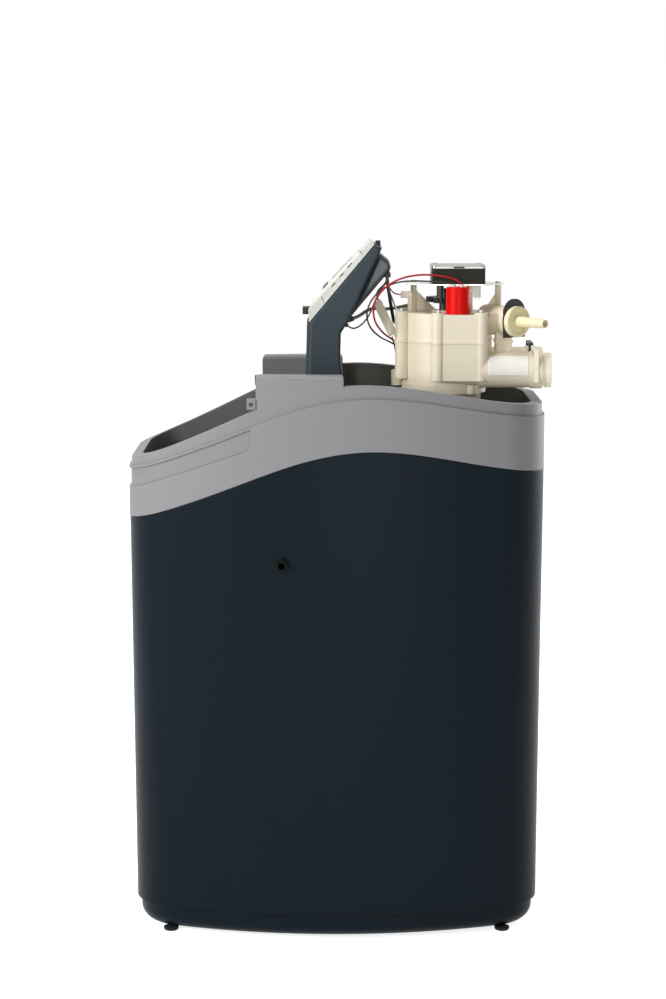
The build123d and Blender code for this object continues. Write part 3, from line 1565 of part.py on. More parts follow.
with BuildPart() as cable_glands:
    with Locations((0, outlet_y, 0)):
        add(side_block(outlet_outline, outlet_width / 2))
    with BuildSketch(lead_plane):
        Circle(lead_gland_radius)
    extrude(amount=lead_gland_length)
    with BuildSketch(cable_plane):
        Circle(cable_gland_radius)
    extrude(amount=cable_gland_length)
    add(side_block(housing_outline, column_half_width), mode=Mode.SUBTRACT)
    add(side_block(module_outline, module_half_width), mode=Mode.SUBTRACT)
save(cable_glands.part, "cable_glands")

# Leads, each with six flat sides, along its real route
run_share = 0.45


def lead(points, width, name):
    """A lead of that width along straight runs joined by arcs as large as the runs allow."""
    places = [Vector(*point) for point in points]
    runs = [after - before for before, after in zip(places, places[1:])]
    radii = []
    for before, after in zip(runs, runs[1:]):
        half_turn = math.radians(before.get_angle(after)) / 2
        radii.append(run_share * min(before.length, after.length) / math.tan(half_turn))
    with BuildPart() as tube:
        with BuildLine() as route:
            FilletPolyline(*places, radius=radii)
        with BuildSketch(Plane(places[0], z_dir=runs[0])) as section:
            RegularPolygon(width / 2, 6)
        sweep()
    route_length = sum(edge.length for edge in route.edges())
    share = tube.part.volume / (section.sketch.area * route_length)
    print(name, "length", round(route_length, 1), "volume share", round(share, 3))
    print("  radii", [round(radius, 1) for radius in radii])
    save(tube.part, name)


# The cell's two leads run over to the head, down and behind the valve, and up into the connector
connector_axis = (connector_foot - connector_top).normalized()
connector_plane = Plane(connector_top, x_dir=(0, 1, 0), z_dir=connector_axis)
with BuildPart() as inline_connector:
    with BuildSketch(connector_plane):
        RectangleRounded(connector_depth, connector_width, connector_round)
    extrude(amount=(connector_foot - connector_top).length)
    with BuildSketch(connector_plane.offset(connector_waist)):
        Rectangle(2 * connector_depth, 2 * connector_width)
        RectangleRounded(
            connector_depth - connector_round,
            connector_width - connector_round,
            connector_round,
            mode=Mode.SUBTRACT,
        )
    extrude(amount=connector_round, mode=Mode.SUBTRACT)
save(inline_connector.part, "inline_connector")

red_route = (
    (144.5, -45, 775.3),
    (142, -45.5, 779.5),
    (134, -46.5, 785.5),
    (118, -49, 790.5),
    (95, -52, 792),
    (71, -55, 786.5),
    (52, -57, 772),
    (42.5, -55, 752),
    (43, -48, 732),
    (51, -36, 718.5),
    (60, -22, 709.5),
    (68, -8.5, 704.5),
    (72.6, 6, 702),
    (73.2, 22, 701),
    (73.2, 36, 697),
    (72.6, 42, 687),
    (71, 35, 678),
    (69.3, 22, 677.5),
    (68.8, 10.5, 685),
    (69.4, 4, 696),
    (69.6, 2.2, 705.4),
    (66.6, 2.2, 711.6),
)
black_route = (
    (135, -43.5, 775.3),
    (132, -43.7, 778),
    (122, -43.5, 779.8),
    (103, -44, 781),
    (84, -43.5, 782.5),
    (65, -42.5, 780),
    (49, -42, 770.5),
    (38, -41.5, 755),
    (33.5, -38, 738),
    (38, -31, 722),
    (49, -22, 710.5),
    (60, -16, 704.5),
    (67.5, -9.5, 700),
    (73, 1, 697),
    (73.3, 13, 694.5),
    (73.5, 25, 692),
    (73.5, 31, 684.5),
    (72.8, 27.5, 676),
    (70.5, 16, 673),
    (68.5, 4.5, 677.5),
    (67.8, -1.5, 687),
    (66.8, -2.2, 698),
    (62.9, -2.2, 709.9),
)
lead(red_route, cell_lead_width, "cell_wire_red")
lead(black_route, cell_lead_width - lead_step, "cell_wire_black")

# Leads that come out of the outlet on the back of the head
outlet_x = (outlet_foot_x + outlet_top.X + outlet_lip) / 2


def harness_route(across):
    return (
        (outlet_x, across, outlet_z),
        (56.3, across, 776.2),
        (51.8, across, 770.5),
        (46.3, across, 765.8),
        (43.8, across, 759.4),
        (46.9, across, 753),
    )


lead(harness_route(2.2), thin_lead_width, "harness_red")
lead(harness_route(-2.2), thin_lead_width, "harness_black")
lead_gland_end = lead_plane.origin + lead_gland_length * lead_plane.z_dir
column_route = (
    tuple(lead_gland_end),
    (14.4, -25, 720.8),
    (21.5, -25, 722.5),
    (29.5, -25, 729),
    (36.5, -25.5, 739.5),
    (42, -26.5, 755),
    (49.5, -27, 770),
    (56, -27, 776),
    (outlet_x, -27, outlet_z),
)
lead(column_route, thin_lead_width, "column_lead")
cable_gland_end = cable_plane.origin + cable_gland_length * cable_plane.z_dir
cable_route = (
    tuple(cable_gland_end),
    (22, -12.3, 734.6),
    (30, -8.5, 740),
    (38, 3, 743.4),
    (47, 10.5, 743),
    (60, 13.5, 742),
    (75, 21, 744.3),
    (88, 29, 747),
    (105, 34, 750),
    (124, 30, 756),
    (134, 22, 761.5),
    (140, 10, 764.8),
    (144.5, 1, 766),
    (150, -4, 766.2),
    (switch_x - switch_length / 2, -4, 766),
)
lead(cable_route, cable_width, "flat_cable")
motor_route = (
    (outlet_x, -13, outlet_z),
    (57.4, -12.5, 773),
    (59.5, -10.5, 760),
    (62, -6, 745),
    (64.5, 6, 732),
    (66, 30, 724),
    (80, 54, 721),
    (106, 67, 722),
    (132, 67.5, 727),
    (147, 63, 741),
    (150, 58, 758),
    (150, 48, 774),
    (150, 38, 784),
    (150, motor_y + motor_half_width, 784),
)
lead(motor_route, sleeve_width, "motor_lead")
sensor_route = (
    (outlet_x, -6.5, outlet_z),
    (57.6, -6.2, 775.5),
    (60.2, -5, 768),
    (64.4, -2.8, 762.8),
    (69, -0.4, 760.7),
    (plug_left, plug_y, plug_z),
)
lead(sensor_route, sensor_width, "sensor_lead")
earth_route = (
    (outlet_x, -20, outlet_z),
    (57.6, -20, 774.5),
    (60, -19.6, 764),
    (63.2, -19, 755.5),
    tuple(barrel_top),
)
lead(earth_route, sensor_width, "earth_lead")
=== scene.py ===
import math

import bmesh
import bpy
from mathutils import Matrix, Vector


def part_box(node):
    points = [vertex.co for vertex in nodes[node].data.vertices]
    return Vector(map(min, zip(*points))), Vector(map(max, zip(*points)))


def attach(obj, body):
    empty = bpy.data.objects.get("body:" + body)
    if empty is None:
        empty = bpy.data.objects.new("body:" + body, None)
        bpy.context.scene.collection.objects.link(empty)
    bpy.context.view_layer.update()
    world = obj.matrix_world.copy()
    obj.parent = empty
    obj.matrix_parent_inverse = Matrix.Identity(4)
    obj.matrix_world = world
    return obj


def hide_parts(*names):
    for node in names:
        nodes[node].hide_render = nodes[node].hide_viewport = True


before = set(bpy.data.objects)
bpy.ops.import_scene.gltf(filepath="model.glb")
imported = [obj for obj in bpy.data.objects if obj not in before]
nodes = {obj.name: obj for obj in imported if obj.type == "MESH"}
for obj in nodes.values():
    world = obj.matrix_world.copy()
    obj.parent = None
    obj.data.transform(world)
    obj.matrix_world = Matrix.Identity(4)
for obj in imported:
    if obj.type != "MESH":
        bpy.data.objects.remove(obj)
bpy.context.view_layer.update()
mm = 0.001


# Studio: a pale floor with the softener's own shadow on it, four soft lamps
# and a white surround. The camera stands nearly three metres off, a little
# above the top of the softener, and looks down at it.
camera_distance = 2900 * mm
camera_height = 940 * mm
camera_side = -8.3 * mm
camera_pitch = math.radians(8.43)
camera_lens = 86.4
camera_sensor = 36.0
camera_reach = 50.0
floor_reach = 9.0
floor_white = (0.82, 0.82, 0.82, 1)
surround_light = 0.15
floor_glow = 0.80
floor_glow_far = 1.0
floor_fade_start, floor_fade_end = 0.5, 2.4
lamps = (
    ("lamp_left", (-1.7, -1.4, 1.1), 0.7, 34.0),
    ("lamp_front", (0.4, -2.9, 0.8), 1.4, 18.0),
    ("lamp_overhead", (-0.7, -0.1, 2.9), 1.0, 32.0),
    ("lamp_behind", (1.9, 1.6, 1.0), 1.2, 32.0),
)
lamp_aim = Vector((0, 0, 0.5))

camera_data = bpy.data.cameras.new("studio_camera")
camera_data.lens = camera_lens
camera_data.sensor_width = camera_sensor
camera_data.clip_end = camera_reach
camera = bpy.data.objects.new("studio_camera", camera_data)
camera.location = (camera_side, -camera_distance, camera_height)
camera.rotation_euler = (math.pi / 2 - camera_pitch, 0, 0)
bpy.context.scene.collection.objects.link(camera)
bpy.context.scene.camera = camera
bpy.context.scene.view_settings.view_transform = "Standard"

for lamp_name, lamp_place, lamp_size, lamp_power in lamps:
    lamp_data = bpy.data.lights.new(lamp_name, "AREA")
    lamp_data.size = lamp_size
    lamp_data.energy = lamp_power
    lamp = bpy.data.objects.new(lamp_name, lamp_data)
    lamp.location = lamp_place
    lamp.rotation_euler = (lamp_aim - lamp.location).to_track_quat("-Z", "Y").to_euler()
    bpy.context.scene.collection.objects.link(lamp)


def new_node(tree, kind, **settings):
    """A shader node of that kind in the tree, with its settings and input values."""
    made = tree.nodes.new(kind)
    for setting, value in settings.items():
        if setting in made.inputs:
            made.inputs[setting].default_value = value
        else:
            setattr(made, setting, value)
    return made


def seen_directly(tree):
    """A value of 1 for the rays that show the surround: to the camera, in gloss and through glass."""
    path = new_node(tree, "ShaderNodeLightPath")
    either = new_node(tree, "ShaderNodeMath", operation="MAXIMUM")
    any_of = new_node(tree, "ShaderNodeMath", operation="MAXIMUM")
    tree.links.new(path.outputs["Is Camera Ray"], either.inputs[0])
    tree.links.new(path.outputs["Is Glossy Ray"], either.inputs[1])
    tree.links.new(either.outputs[0], any_of.inputs[0])
    tree.links.new(path.outputs["Is Transmission Ray"], any_of.inputs[1])
    return any_of.outputs[0]


world = bpy.data.worlds.new("studio_surround")
world.use_nodes = True
bpy.context.scene.world = world
world_tree = world.node_tree
world_tree.nodes.clear()
world_level = new_node(world_tree, "ShaderNodeMapRange")
world_level.inputs["To Min"].default_value = surround_light
world_level.inputs["To Max"].default_value = 1.0
world_light = new_node(world_tree, "ShaderNodeBackground", Color=(1, 1, 1, 1))
world_out = new_node(world_tree, "ShaderNodeOutputWorld")
world_tree.links.new(seen_directly(world_tree), world_level.inputs["Value"])
world_tree.links.new(world_level.outputs[0], world_light.inputs["Strength"])
world_tree.links.new(world_light.outputs[0], world_out.inputs["Surface"])

floor_paper = bpy.data.materials.new("floor_paper")
floor_paper.use_nodes = True
floor_tree = floor_paper.node_tree
floor_tree.nodes.clear()
floor_diffuse = new_node(floor_tree, "ShaderNodeBsdfDiffuse", Color=floor_white)
floor_light = new_node(floor_tree, "ShaderNodeEmission")
floor_level = new_node(floor_tree, "ShaderNodeMath", operation="MULTIPLY")
floor_place = new_node(floor_tree, "ShaderNodeTexCoord")
floor_distance = new_node(floor_tree, "ShaderNodeVectorMath", operation="LENGTH")
floor_fade = new_node(floor_tree, "ShaderNodeMapRange")
floor_fade.inputs["From Min"].default_value = floor_fade_start
floor_fade.inputs["From Max"].default_value = floor_fade_end
floor_fade.inputs["To Min"].default_value = floor_glow
floor_fade.inputs["To Max"].default_value = floor_glow_far
floor_sum = new_node(floor_tree, "ShaderNodeAddShader")
floor_out = new_node(floor_tree, "ShaderNodeOutputMaterial")
floor_tree.links.new(seen_directly(floor_tree), floor_level.inputs[0])
floor_tree.links.new(floor_place.outputs["Object"], floor_distance.inputs[0])
floor_tree.links.new(floor_distance.outputs["Value"], floor_fade.inputs["Value"])
floor_tree.links.new(floor_fade.outputs[0], floor_level.inputs[1])
floor_tree.links.new(floor_level.outputs[0], floor_light.inputs["Strength"])
floor_tree.links.new(floor_diffuse.outputs[0], floor_sum.inputs[0])
floor_tree.links.new(floor_light.outputs[0], floor_sum.inputs[1])
floor_tree.links.new(floor_sum.outputs[0], floor_out.inputs["Surface"])
floor_mesh = bpy.data.meshes.new("studio_floor")
floor_corners = [(-floor_reach, -floor_reach, 0), (floor_reach, -floor_reach, 0),
                 (floor_reach, floor_reach, 0), (-floor_reach, floor_reach, 0)]
floor_mesh.from_pydata(floor_corners, [], [(0, 1, 2, 3)])
floor_mesh.materials.append(floor_paper)
studio_floor = bpy.data.objects.new("studio_floor", floor_mesh)
bpy.context.scene.collection.objects.link(studio_floor)


# Cabinet: one blow-moulded tank of dark blue-grey polyethylene with a fine
# grain from the mould, faintly streaked from top to bottom, on four feet of
# black rubber pushed into its floor.
cabinet_colour = (12, 24, 32)
rubber_colour = (25, 25, 26)
cabinet_grain = 1800.0
streak_squash = 0.06
screen_white, screen_dark, dark_divisor = 255, 10, 3294
curve_offset, curve_power = 0.055, 2.4
cloud_scale, cloud_detail, cloud_roughness = 22.0, 4.0, 0.6
cloud_middle = 0.5
grain_detail, grain_roughness = 2.0, 0.55
grain_height = 0.2 * mm
edge_samples = 4
edge_flat, edge_turned = 0.985, 0.80
rub_scale, rub_detail, rub_lift = 160.0, 3.0, 0.5


def shade(red, green, blue):
    """A colour written as it looks on a screen, from 0 to 255, as Blender's linear colour."""
    linear = []
    for level in (red, green, blue):
        curved = ((level / screen_white + curve_offset) / (1 + curve_offset)) ** curve_power
        linear.append(curved if level > screen_dark else level / dark_divisor)
    return (*linear, 1.0)


def socket_group(name, inputs, outputs):
    """An empty shader node group with its named sockets, and the two nodes that hold them."""
    group = bpy.data.node_groups.new(name, "ShaderNodeTree")
    for label, kind, start in inputs:
        socket = group.interface.new_socket(label, in_out="INPUT", socket_type=kind)
        socket.default_value = start
    for label, kind in outputs:
        group.interface.new_socket(label, in_out="OUTPUT", socket_type=kind)
    return group, new_node(group, "NodeGroupInput"), new_node(group, "NodeGroupOutput")


colour_socket, value_socket, vector_socket = "NodeSocketColor", "NodeSocketFloat", "NodeSocketVector"

mould_skin, skin_in, skin_out = socket_group(
    "Mould skin",
    [("Colour", colour_socket, (0.5, 0.5, 0.5, 1)), ("Tone Spread", value_socket, 0.05),
     ("Grain Scale", value_socket, 600.0), ("Streak", value_socket, 1.0),
     ("Roughness", value_socket, 0.5), ("Roughness Spread", value_socket, 0.08)],
    [("Colour", colour_socket), ("Roughness", value_socket), ("Height", value_socket)],
)
skin_place = new_node(mould_skin, "ShaderNodeTexCoord")
skin_squash = new_node(mould_skin, "ShaderNodeCombineXYZ", X=1.0, Y=1.0)
skin_scaled = new_node(mould_skin, "ShaderNodeVectorMath", operation="MULTIPLY")
skin_cloud = new_node(mould_skin, "ShaderNodeTexNoise", Scale=cloud_scale, Detail=cloud_detail,
                      Roughness=cloud_roughness)
skin_grain = new_node(mould_skin, "ShaderNodeTexNoise", Detail=grain_detail, Roughness=grain_roughness)
skin_tone = new_node(mould_skin, "ShaderNodeMath", operation="MULTIPLY_ADD")
skin_centre = new_node(mould_skin, "ShaderNodeMath", operation="SUBTRACT")
skin_centre.inputs[1].default_value = cloud_middle
skin_tone.inputs[2].default_value = 1.0
skin_tint = new_node(mould_skin, "ShaderNodeVectorMath", operation="SCALE")
skin_rough = new_node(mould_skin, "ShaderNodeMath", operation="MULTIPLY_ADD")
mould_skin.links.new(skin_in.outputs["Streak"], skin_squash.inputs["Z"])
mould_skin.links.new(skin_place.outputs["Object"], skin_scaled.inputs[0])
mould_skin.links.new(skin_squash.outputs[0], skin_scaled.inputs[1])
mould_skin.links.new(skin_scaled.outputs[0], skin_cloud.inputs["Vector"])
mould_skin.links.new(skin_place.outputs["Object"], skin_grain.inputs["Vector"])
mould_skin.links.new(skin_in.outputs["Grain Scale"], skin_grain.inputs["Scale"])
mould_skin.links.new(skin_cloud.outputs["Fac"], skin_centre.inputs[0])
mould_skin.links.new(skin_centre.outputs[0], skin_tone.inputs[0])
mould_skin.links.new(skin_in.outputs["Tone Spread"], skin_tone.inputs[1])
mould_skin.links.new(skin_in.outputs["Colour"], skin_tint.inputs[0])
mould_skin.links.new(skin_tone.outputs[0], skin_tint.inputs["Scale"])
mould_skin.links.new(skin_centre.outputs[0], skin_rough.inputs[0])
mould_skin.links.new(skin_in.outputs["Roughness Spread"], skin_rough.inputs[1])
mould_skin.links.new(skin_in.outputs["Roughness"], skin_rough.inputs[2])
mould_skin.links.new(skin_tint.outputs[0], skin_out.inputs["Colour"])
mould_skin.links.new(skin_rough.outputs[0], skin_out.inputs["Roughness"])
mould_skin.links.new(skin_grain.outputs["Fac"], skin_out.inputs["Height"])

soft_edge, edge_in, edge_out = socket_group(
    "Softened edge",
    [("Radius", value_socket, 0.001)],
    [("Normal", vector_socket), ("Rub", value_socket)],
)
edge_round = new_node(soft_edge, "ShaderNodeBevel", samples=edge_samples)
edge_true = new_node(soft_edge, "ShaderNodeNewGeometry")
edge_dot = new_node(soft_edge, "ShaderNodeVectorMath", operation="DOT_PRODUCT")
edge_mask = new_node(soft_edge, "ShaderNodeMapRange")
edge_mask.inputs["From Min"].default_value = edge_flat
edge_mask.inputs["From Max"].default_value = edge_turned
edge_patch = new_node(soft_edge, "ShaderNodeTexNoise", Scale=rub_scale, Detail=rub_detail)
edge_place = new_node(soft_edge, "ShaderNodeTexCoord")
edge_rub = new_node(soft_edge, "ShaderNodeMath", operation="MULTIPLY")
soft_edge.links.new(edge_in.outputs["Radius"], edge_round.inputs["Radius"])
soft_edge.links.new(edge_round.outputs[0], edge_dot.inputs[0])
soft_edge.links.new(edge_true.outputs["Normal"], edge_dot.inputs[1])
soft_edge.links.new(edge_dot.outputs["Value"], edge_mask.inputs["Value"])
soft_edge.links.new(edge_place.outputs["Object"], edge_patch.inputs["Vector"])
soft_edge.links.new(edge_patch.outputs["Fac"], edge_rub.inputs[0])
soft_edge.links.new(edge_mask.outputs[0], edge_rub.inputs[1])
soft_edge.links.new(edge_round.outputs[0], edge_out.inputs["Normal"])
soft_edge.links.new(edge_rub.outputs[0], edge_out.inputs["Rub"])


def group_node(tree, group, **values):
    """A node group placed in a material with its own values."""
    placed = tree.nodes.new("ShaderNodeGroup")
    placed.node_tree = group
    for label, value in values.items():
        placed.inputs[label.replace("_", " ")].default_value = value
    return placed


def moulded(name, colour, roughness, gloss=0.5, tone=0.06, grain=2200.0, depth=0.12, edge=0.0009,
            rub=0.06, streak=1.0, spread=0.08):
    """Moulded plastic: mould grain, slight cloudiness, and edges softened and rubbed paler."""
    made = bpy.data.materials.new(name)
    made.use_nodes = True
    tree = made.node_tree
    surface = tree.nodes["Principled BSDF"]
    surface.inputs["Specular IOR Level"].default_value = gloss
    skin = group_node(tree, mould_skin, Colour=shade(*colour), Tone_Spread=tone, Grain_Scale=grain,
                      Streak=streak, Roughness=roughness, Roughness_Spread=spread)
    soft = group_node(tree, soft_edge, Radius=edge)
    rubbed = new_node(tree, "ShaderNodeMix", data_type="RGBA")
    paler = [min(1.0, rub * rub_lift + level * (1 + rub)) for level in shade(*colour)[:3]]
    rubbed.inputs["B"].default_value = (*paler, 1.0)
    bump = new_node(tree, "ShaderNodeBump", Strength=depth, Distance=grain_height)
    tree.links.new(skin.outputs["Colour"], rubbed.inputs["A"])
    tree.links.new(soft.outputs["Rub"], rubbed.inputs["Factor"])
    tree.links.new(rubbed.outputs["Result"], surface.inputs["Base Color"])
    tree.links.new(skin.outputs["Roughness"], surface.inputs["Roughness"])
    tree.links.new(skin.outputs["Height"], bump.inputs["Height"])
    tree.links.new(soft.outputs["Normal"], bump.inputs["Normal"])
    tree.links.new(bump.outputs[0], surface.inputs["Normal"])
    return made


def dress(finish, *names):
    """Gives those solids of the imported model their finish."""
    for name in names:
        solid = nodes[name]
        if not solid.material_slots:
            solid.data.materials.append(finish)
        for place in solid.material_slots:
            place.material = finish


dress(moulded("cabinet_plastic", cabinet_colour, roughness=0.38, gloss=0.08, tone=0.22, grain=cabinet_grain,
              depth=0.1, edge=0.003, rub=0.01, streak=streak_squash), "cabinet_tank")
dress(moulded("foot_rubber", rubber_colour, roughness=0.8, gloss=0.3, grain=900.0, rub=0.05),
      "rubber_feet")


# Top frame: the grey moulding that clips over the tank's mouth, with the salt
# hopper's rim, the pier under the column and the curtain along the seam's
# wave. Its inner faces carry painted shade, darkest in the rear well.
frame_grey = (137, 137, 139)
# Painted shade: a mask darkens the frame's inner faces, more in the rear well.
painted_shade_start, painted_shade_full = 0.004, 0.032
level_part = (1, 1, 0)
hopper_painted_shade = shade(116, 116, 116)
well_painted_shade = shade(58, 60, 54)
well_edge, well_edge_end = -20 * mm, 10 * mm
frame_finish = moulded("frame_plastic", frame_grey, roughness=0.5, gloss=0.35, tone=0.05, edge=0.0016,
                       rub=0.04)
frame_tree = frame_finish.node_tree
frame_place = new_node(frame_tree, "ShaderNodeTexCoord")
frame_level = new_node(frame_tree, "ShaderNodeVectorMath", operation="MULTIPLY")
frame_level.inputs[1].default_value = level_part
frame_facing = new_node(frame_tree, "ShaderNodeVectorMath", operation="DOT_PRODUCT")
frame_shade_mask = new_node(frame_tree, "ShaderNodeMapRange")
frame_shade_mask.inputs["From Min"].default_value = -painted_shade_start
frame_shade_mask.inputs["From Max"].default_value = -painted_shade_full
frame_split = new_node(frame_tree, "ShaderNodeSeparateXYZ")
frame_well_shade = new_node(frame_tree, "ShaderNodeMapRange")
frame_well_shade.inputs["From Min"].default_value = well_edge
frame_well_shade.inputs["From Max"].default_value = well_edge_end
# Painted shade colours: darker grey inside the hopper, darker still in the rear well.
painted_shade_colour = new_node(frame_tree, "ShaderNodeMix", data_type="RGBA", A=hopper_painted_shade, B=well_painted_shade)
frame_colour = new_node(frame_tree, "ShaderNodeMix", data_type="RGBA")
frame_base = frame_tree.nodes["Principled BSDF"].inputs["Base Color"]
frame_tree.links.new(frame_base.links[0].from_socket, frame_colour.inputs["A"])
frame_tree.links.new(frame_place.outputs["Object"], frame_level.inputs[0])
frame_tree.links.new(frame_level.outputs[0], frame_facing.inputs[0])
frame_tree.links.new(frame_place.outputs["Normal"], frame_facing.inputs[1])
frame_tree.links.new(frame_facing.outputs["Value"], frame_shade_mask.inputs["Value"])
frame_tree.links.new(frame_place.outputs["Object"], frame_split.inputs[0])
frame_tree.links.new(frame_split.outputs["X"], frame_well_shade.inputs["Value"])
frame_tree.links.new(frame_well_shade.outputs[0], painted_shade_colour.inputs["Factor"])
frame_tree.links.new(painted_shade_colour.outputs["Result"], frame_colour.inputs["B"])
frame_tree.links.new(frame_shade_mask.outputs[0], frame_colour.inputs["Factor"])
frame_tree.links.new(frame_colour.outputs["Result"], frame_base)
dress(frame_finish, "top_frame")


# Overflow outlet: a small black flanged spigot through the cabinet's near
# side, held by a hexagon nut inside.
outlet_black = (8, 10, 11)
dress(moulded("outlet_plastic", outlet_black, roughness=0.4, gloss=0.1, grain=900.0, rub=0.0),
      "overflow_outlet", "overflow_nut")


# Resin tank: a filament-wound shell of glass fibre in resin with the windings
# crossing, in a black boot, with the riser, the slotted baskets and the bed
# of amber beads inside.
shell_colour = (198, 190, 160)
tank_axis = (126 * mm, 0, 0)
winding_climb, winding_slant = 130.0, 12.0
winding_strength, winding_height = 0.6, 0.5 * mm
bead_amber, bead_brown = (196, 120, 40), (120, 60, 18)
bead_scale, bead_roughness = 1100.0, 0.25
bead_strength, bead_height = 0.8, 0.4 * mm
boot_black, basket_cream = (26, 27, 29), (222, 218, 200)
shell_finish = moulded("wound_shell", shell_colour, roughness=0.35, tone=0.1, grain=300.0)
shell_tree = shell_finish.node_tree
shell_place = new_node(shell_tree, "ShaderNodeTexCoord")
shell_split = new_node(shell_tree, "ShaderNodeSeparateXYZ")
shell_turn = new_node(shell_tree, "ShaderNodeMath", operation="ARCTAN2")
shell_waves = []
for hand in (1, -1):
    climb = new_node(shell_tree, "ShaderNodeMath", operation="MULTIPLY_ADD")
    climb.inputs[1].default_value = winding_climb
    slant = new_node(shell_tree, "ShaderNodeMath", operation="MULTIPLY")
    slant.inputs[1].default_value = hand * winding_slant
    wave = new_node(shell_tree, "ShaderNodeMath", operation="SINE")
    shell_tree.links.new(shell_turn.outputs[0], slant.inputs[0])
    shell_tree.links.new(shell_split.outputs["Z"], climb.inputs[0])
    shell_tree.links.new(slant.outputs[0], climb.inputs[2])
    shell_tree.links.new(climb.outputs[0], wave.inputs[0])
    shell_waves.append(wave)
shell_shift = new_node(shell_tree, "ShaderNodeVectorMath", operation="SUBTRACT")
shell_shift.inputs[1].default_value = tank_axis
shell_top = new_node(shell_tree, "ShaderNodeMath", operation="MAXIMUM")
shell_bump = new_node(shell_tree, "ShaderNodeBump", Strength=winding_strength, Distance=winding_height)
shell_tree.links.new(shell_place.outputs["Object"], shell_shift.inputs[0])
shell_tree.links.new(shell_shift.outputs[0], shell_split.inputs[0])
shell_tree.links.new(shell_split.outputs["Y"], shell_turn.inputs[0])
shell_tree.links.new(shell_split.outputs["X"], shell_turn.inputs[1])
shell_tree.links.new(shell_waves[0].outputs[0], shell_top.inputs[0])
shell_tree.links.new(shell_waves[1].outputs[0], shell_top.inputs[1])
shell_tree.links.new(shell_top.outputs[0], shell_bump.inputs["Height"])
shell_tree.links.new(shell_bump.outputs[0], shell_tree.nodes["Principled BSDF"].inputs["Normal"])
dress(shell_finish, "resin_tank")

bead_finish = bpy.data.materials.new("resin_beads")
bead_finish.use_nodes = True
bead_tree = bead_finish.node_tree
bead_surface = bead_tree.nodes["Principled BSDF"]
bead_surface.inputs["Roughness"].default_value = bead_roughness
bead_place = new_node(bead_tree, "ShaderNodeTexCoord")
bead_cells = new_node(bead_tree, "ShaderNodeTexVoronoi", Scale=bead_scale)
bead_ramp = new_node(bead_tree, "ShaderNodeMix", data_type="RGBA")
bead_ramp.inputs["A"].default_value = shade(*bead_amber)
bead_ramp.inputs["B"].default_value = shade(*bead_brown)
bead_bump = new_node(bead_tree, "ShaderNodeBump", Strength=bead_strength, Distance=bead_height,
                     invert=True)
bead_tree.links.new(bead_place.outputs["Object"], bead_cells.inputs["Vector"])
bead_tree.links.new(bead_cells.outputs["Color"], bead_ramp.inputs["Factor"])
bead_tree.links.new(bead_ramp.outputs["Result"], bead_surface.inputs["Base Color"])
bead_tree.links.new(bead_cells.outputs["Distance"], bead_bump.inputs["Height"])
bead_tree.links.new(bead_bump.outputs[0], bead_surface.inputs["Normal"])
dress(bead_finish, "resin_bed")
dress(moulded("boot_plastic", boot_black, roughness=0.6), "tank_boot")
dress(moulded("basket_plastic", basket_cream, roughness=0.5), "resin_distributor")


# Brine well: a white pipe standing on the tank's floor with its push-on cap,
# and in it the foot valve, the float on its rod and the black brine line that
# climbs to the elbow on the valve.
well_white, line_black = (226, 228, 224), (30, 31, 33)
dress(moulded("well_plastic", well_white, roughness=0.45, tone=0.04),
      "brine_well", "brine_well_cap", "brine_valve", "brine_float")
dress(moulded("line_plastic", line_black, roughness=0.35, tone=0.1, edge=0.0004), "brine_line")


# Valve: body and cover of ivory glass-filled plastic, screwed together round
# their rim, on the threaded ring that holds the resin tank's neck. The
# mouldings are slightly mottled and glossy, their edges rubbed a little paler.
valve_ivory = (238, 227, 203)
screw_grey = (158, 158, 152)
dress(moulded("valve_plastic", valve_ivory, roughness=0.42, tone=0.07, grain=1400.0, rub=0.05),
      "neck_ring", "valve_body", "valve_cover", "brine_elbow")


def plated(name, colour, roughness, grain=900.0):
    """Plated or drawn metal: metallic, with fine scratches and a slight cloud in its gloss."""
    made = moulded(name, colour, roughness, tone=0.08, grain=grain, depth=0.15, edge=0.0004, rub=0.2,
                   spread=0.2)
    made.node_tree.nodes["Principled BSDF"].inputs["Metallic"].default_value = 1.0
    return made


dress(plated("screw_plating", screw_grey, roughness=0.36), "valve_screws")


# Ports: the body's two ports end in turned tails of the same plastic. A clip
# pushed down over each one holds it, ivory on the near port and black on the
# far one, and a bare white label is stuck round the near port.
tail_ivory = (250, 243, 219)
clip_black, label_white = (27, 28, 29), (249, 246, 238)
label_start, label_end = 176.0 * mm, 224.5 * mm
label_low, label_high = math.radians(-15), math.radians(58)
label_corner = 1.6 * mm
label_lift = 0.12 * mm
label_thickness = 0.1 * mm
port_centre = Vector((0, -40 * mm, 673 * mm))
port_radius = 21.2 * mm
label_steps = 24
label_shares = (0.0, 0.02, 0.5, 0.98, 1.0)
dress(moulded("port_plastic", tail_ivory, roughness=0.38, edge=0.0008),
      "port_tails", "near_port_clip")
black_finish = moulded("black_plastic", clip_black, roughness=0.5, gloss=0.4, edge=0.0005, rub=0.05)
dress(black_finish, "far_port_clip")


def new_piece(name, mesh, finish):
    """A mesh or curve as a piece that stays with the softener's standing body."""
    mesh.materials.append(finish)
    piece = bpy.data.objects.new(name, mesh)
    bpy.context.scene.collection.objects.link(piece)
    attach(piece, "softener")
    return piece


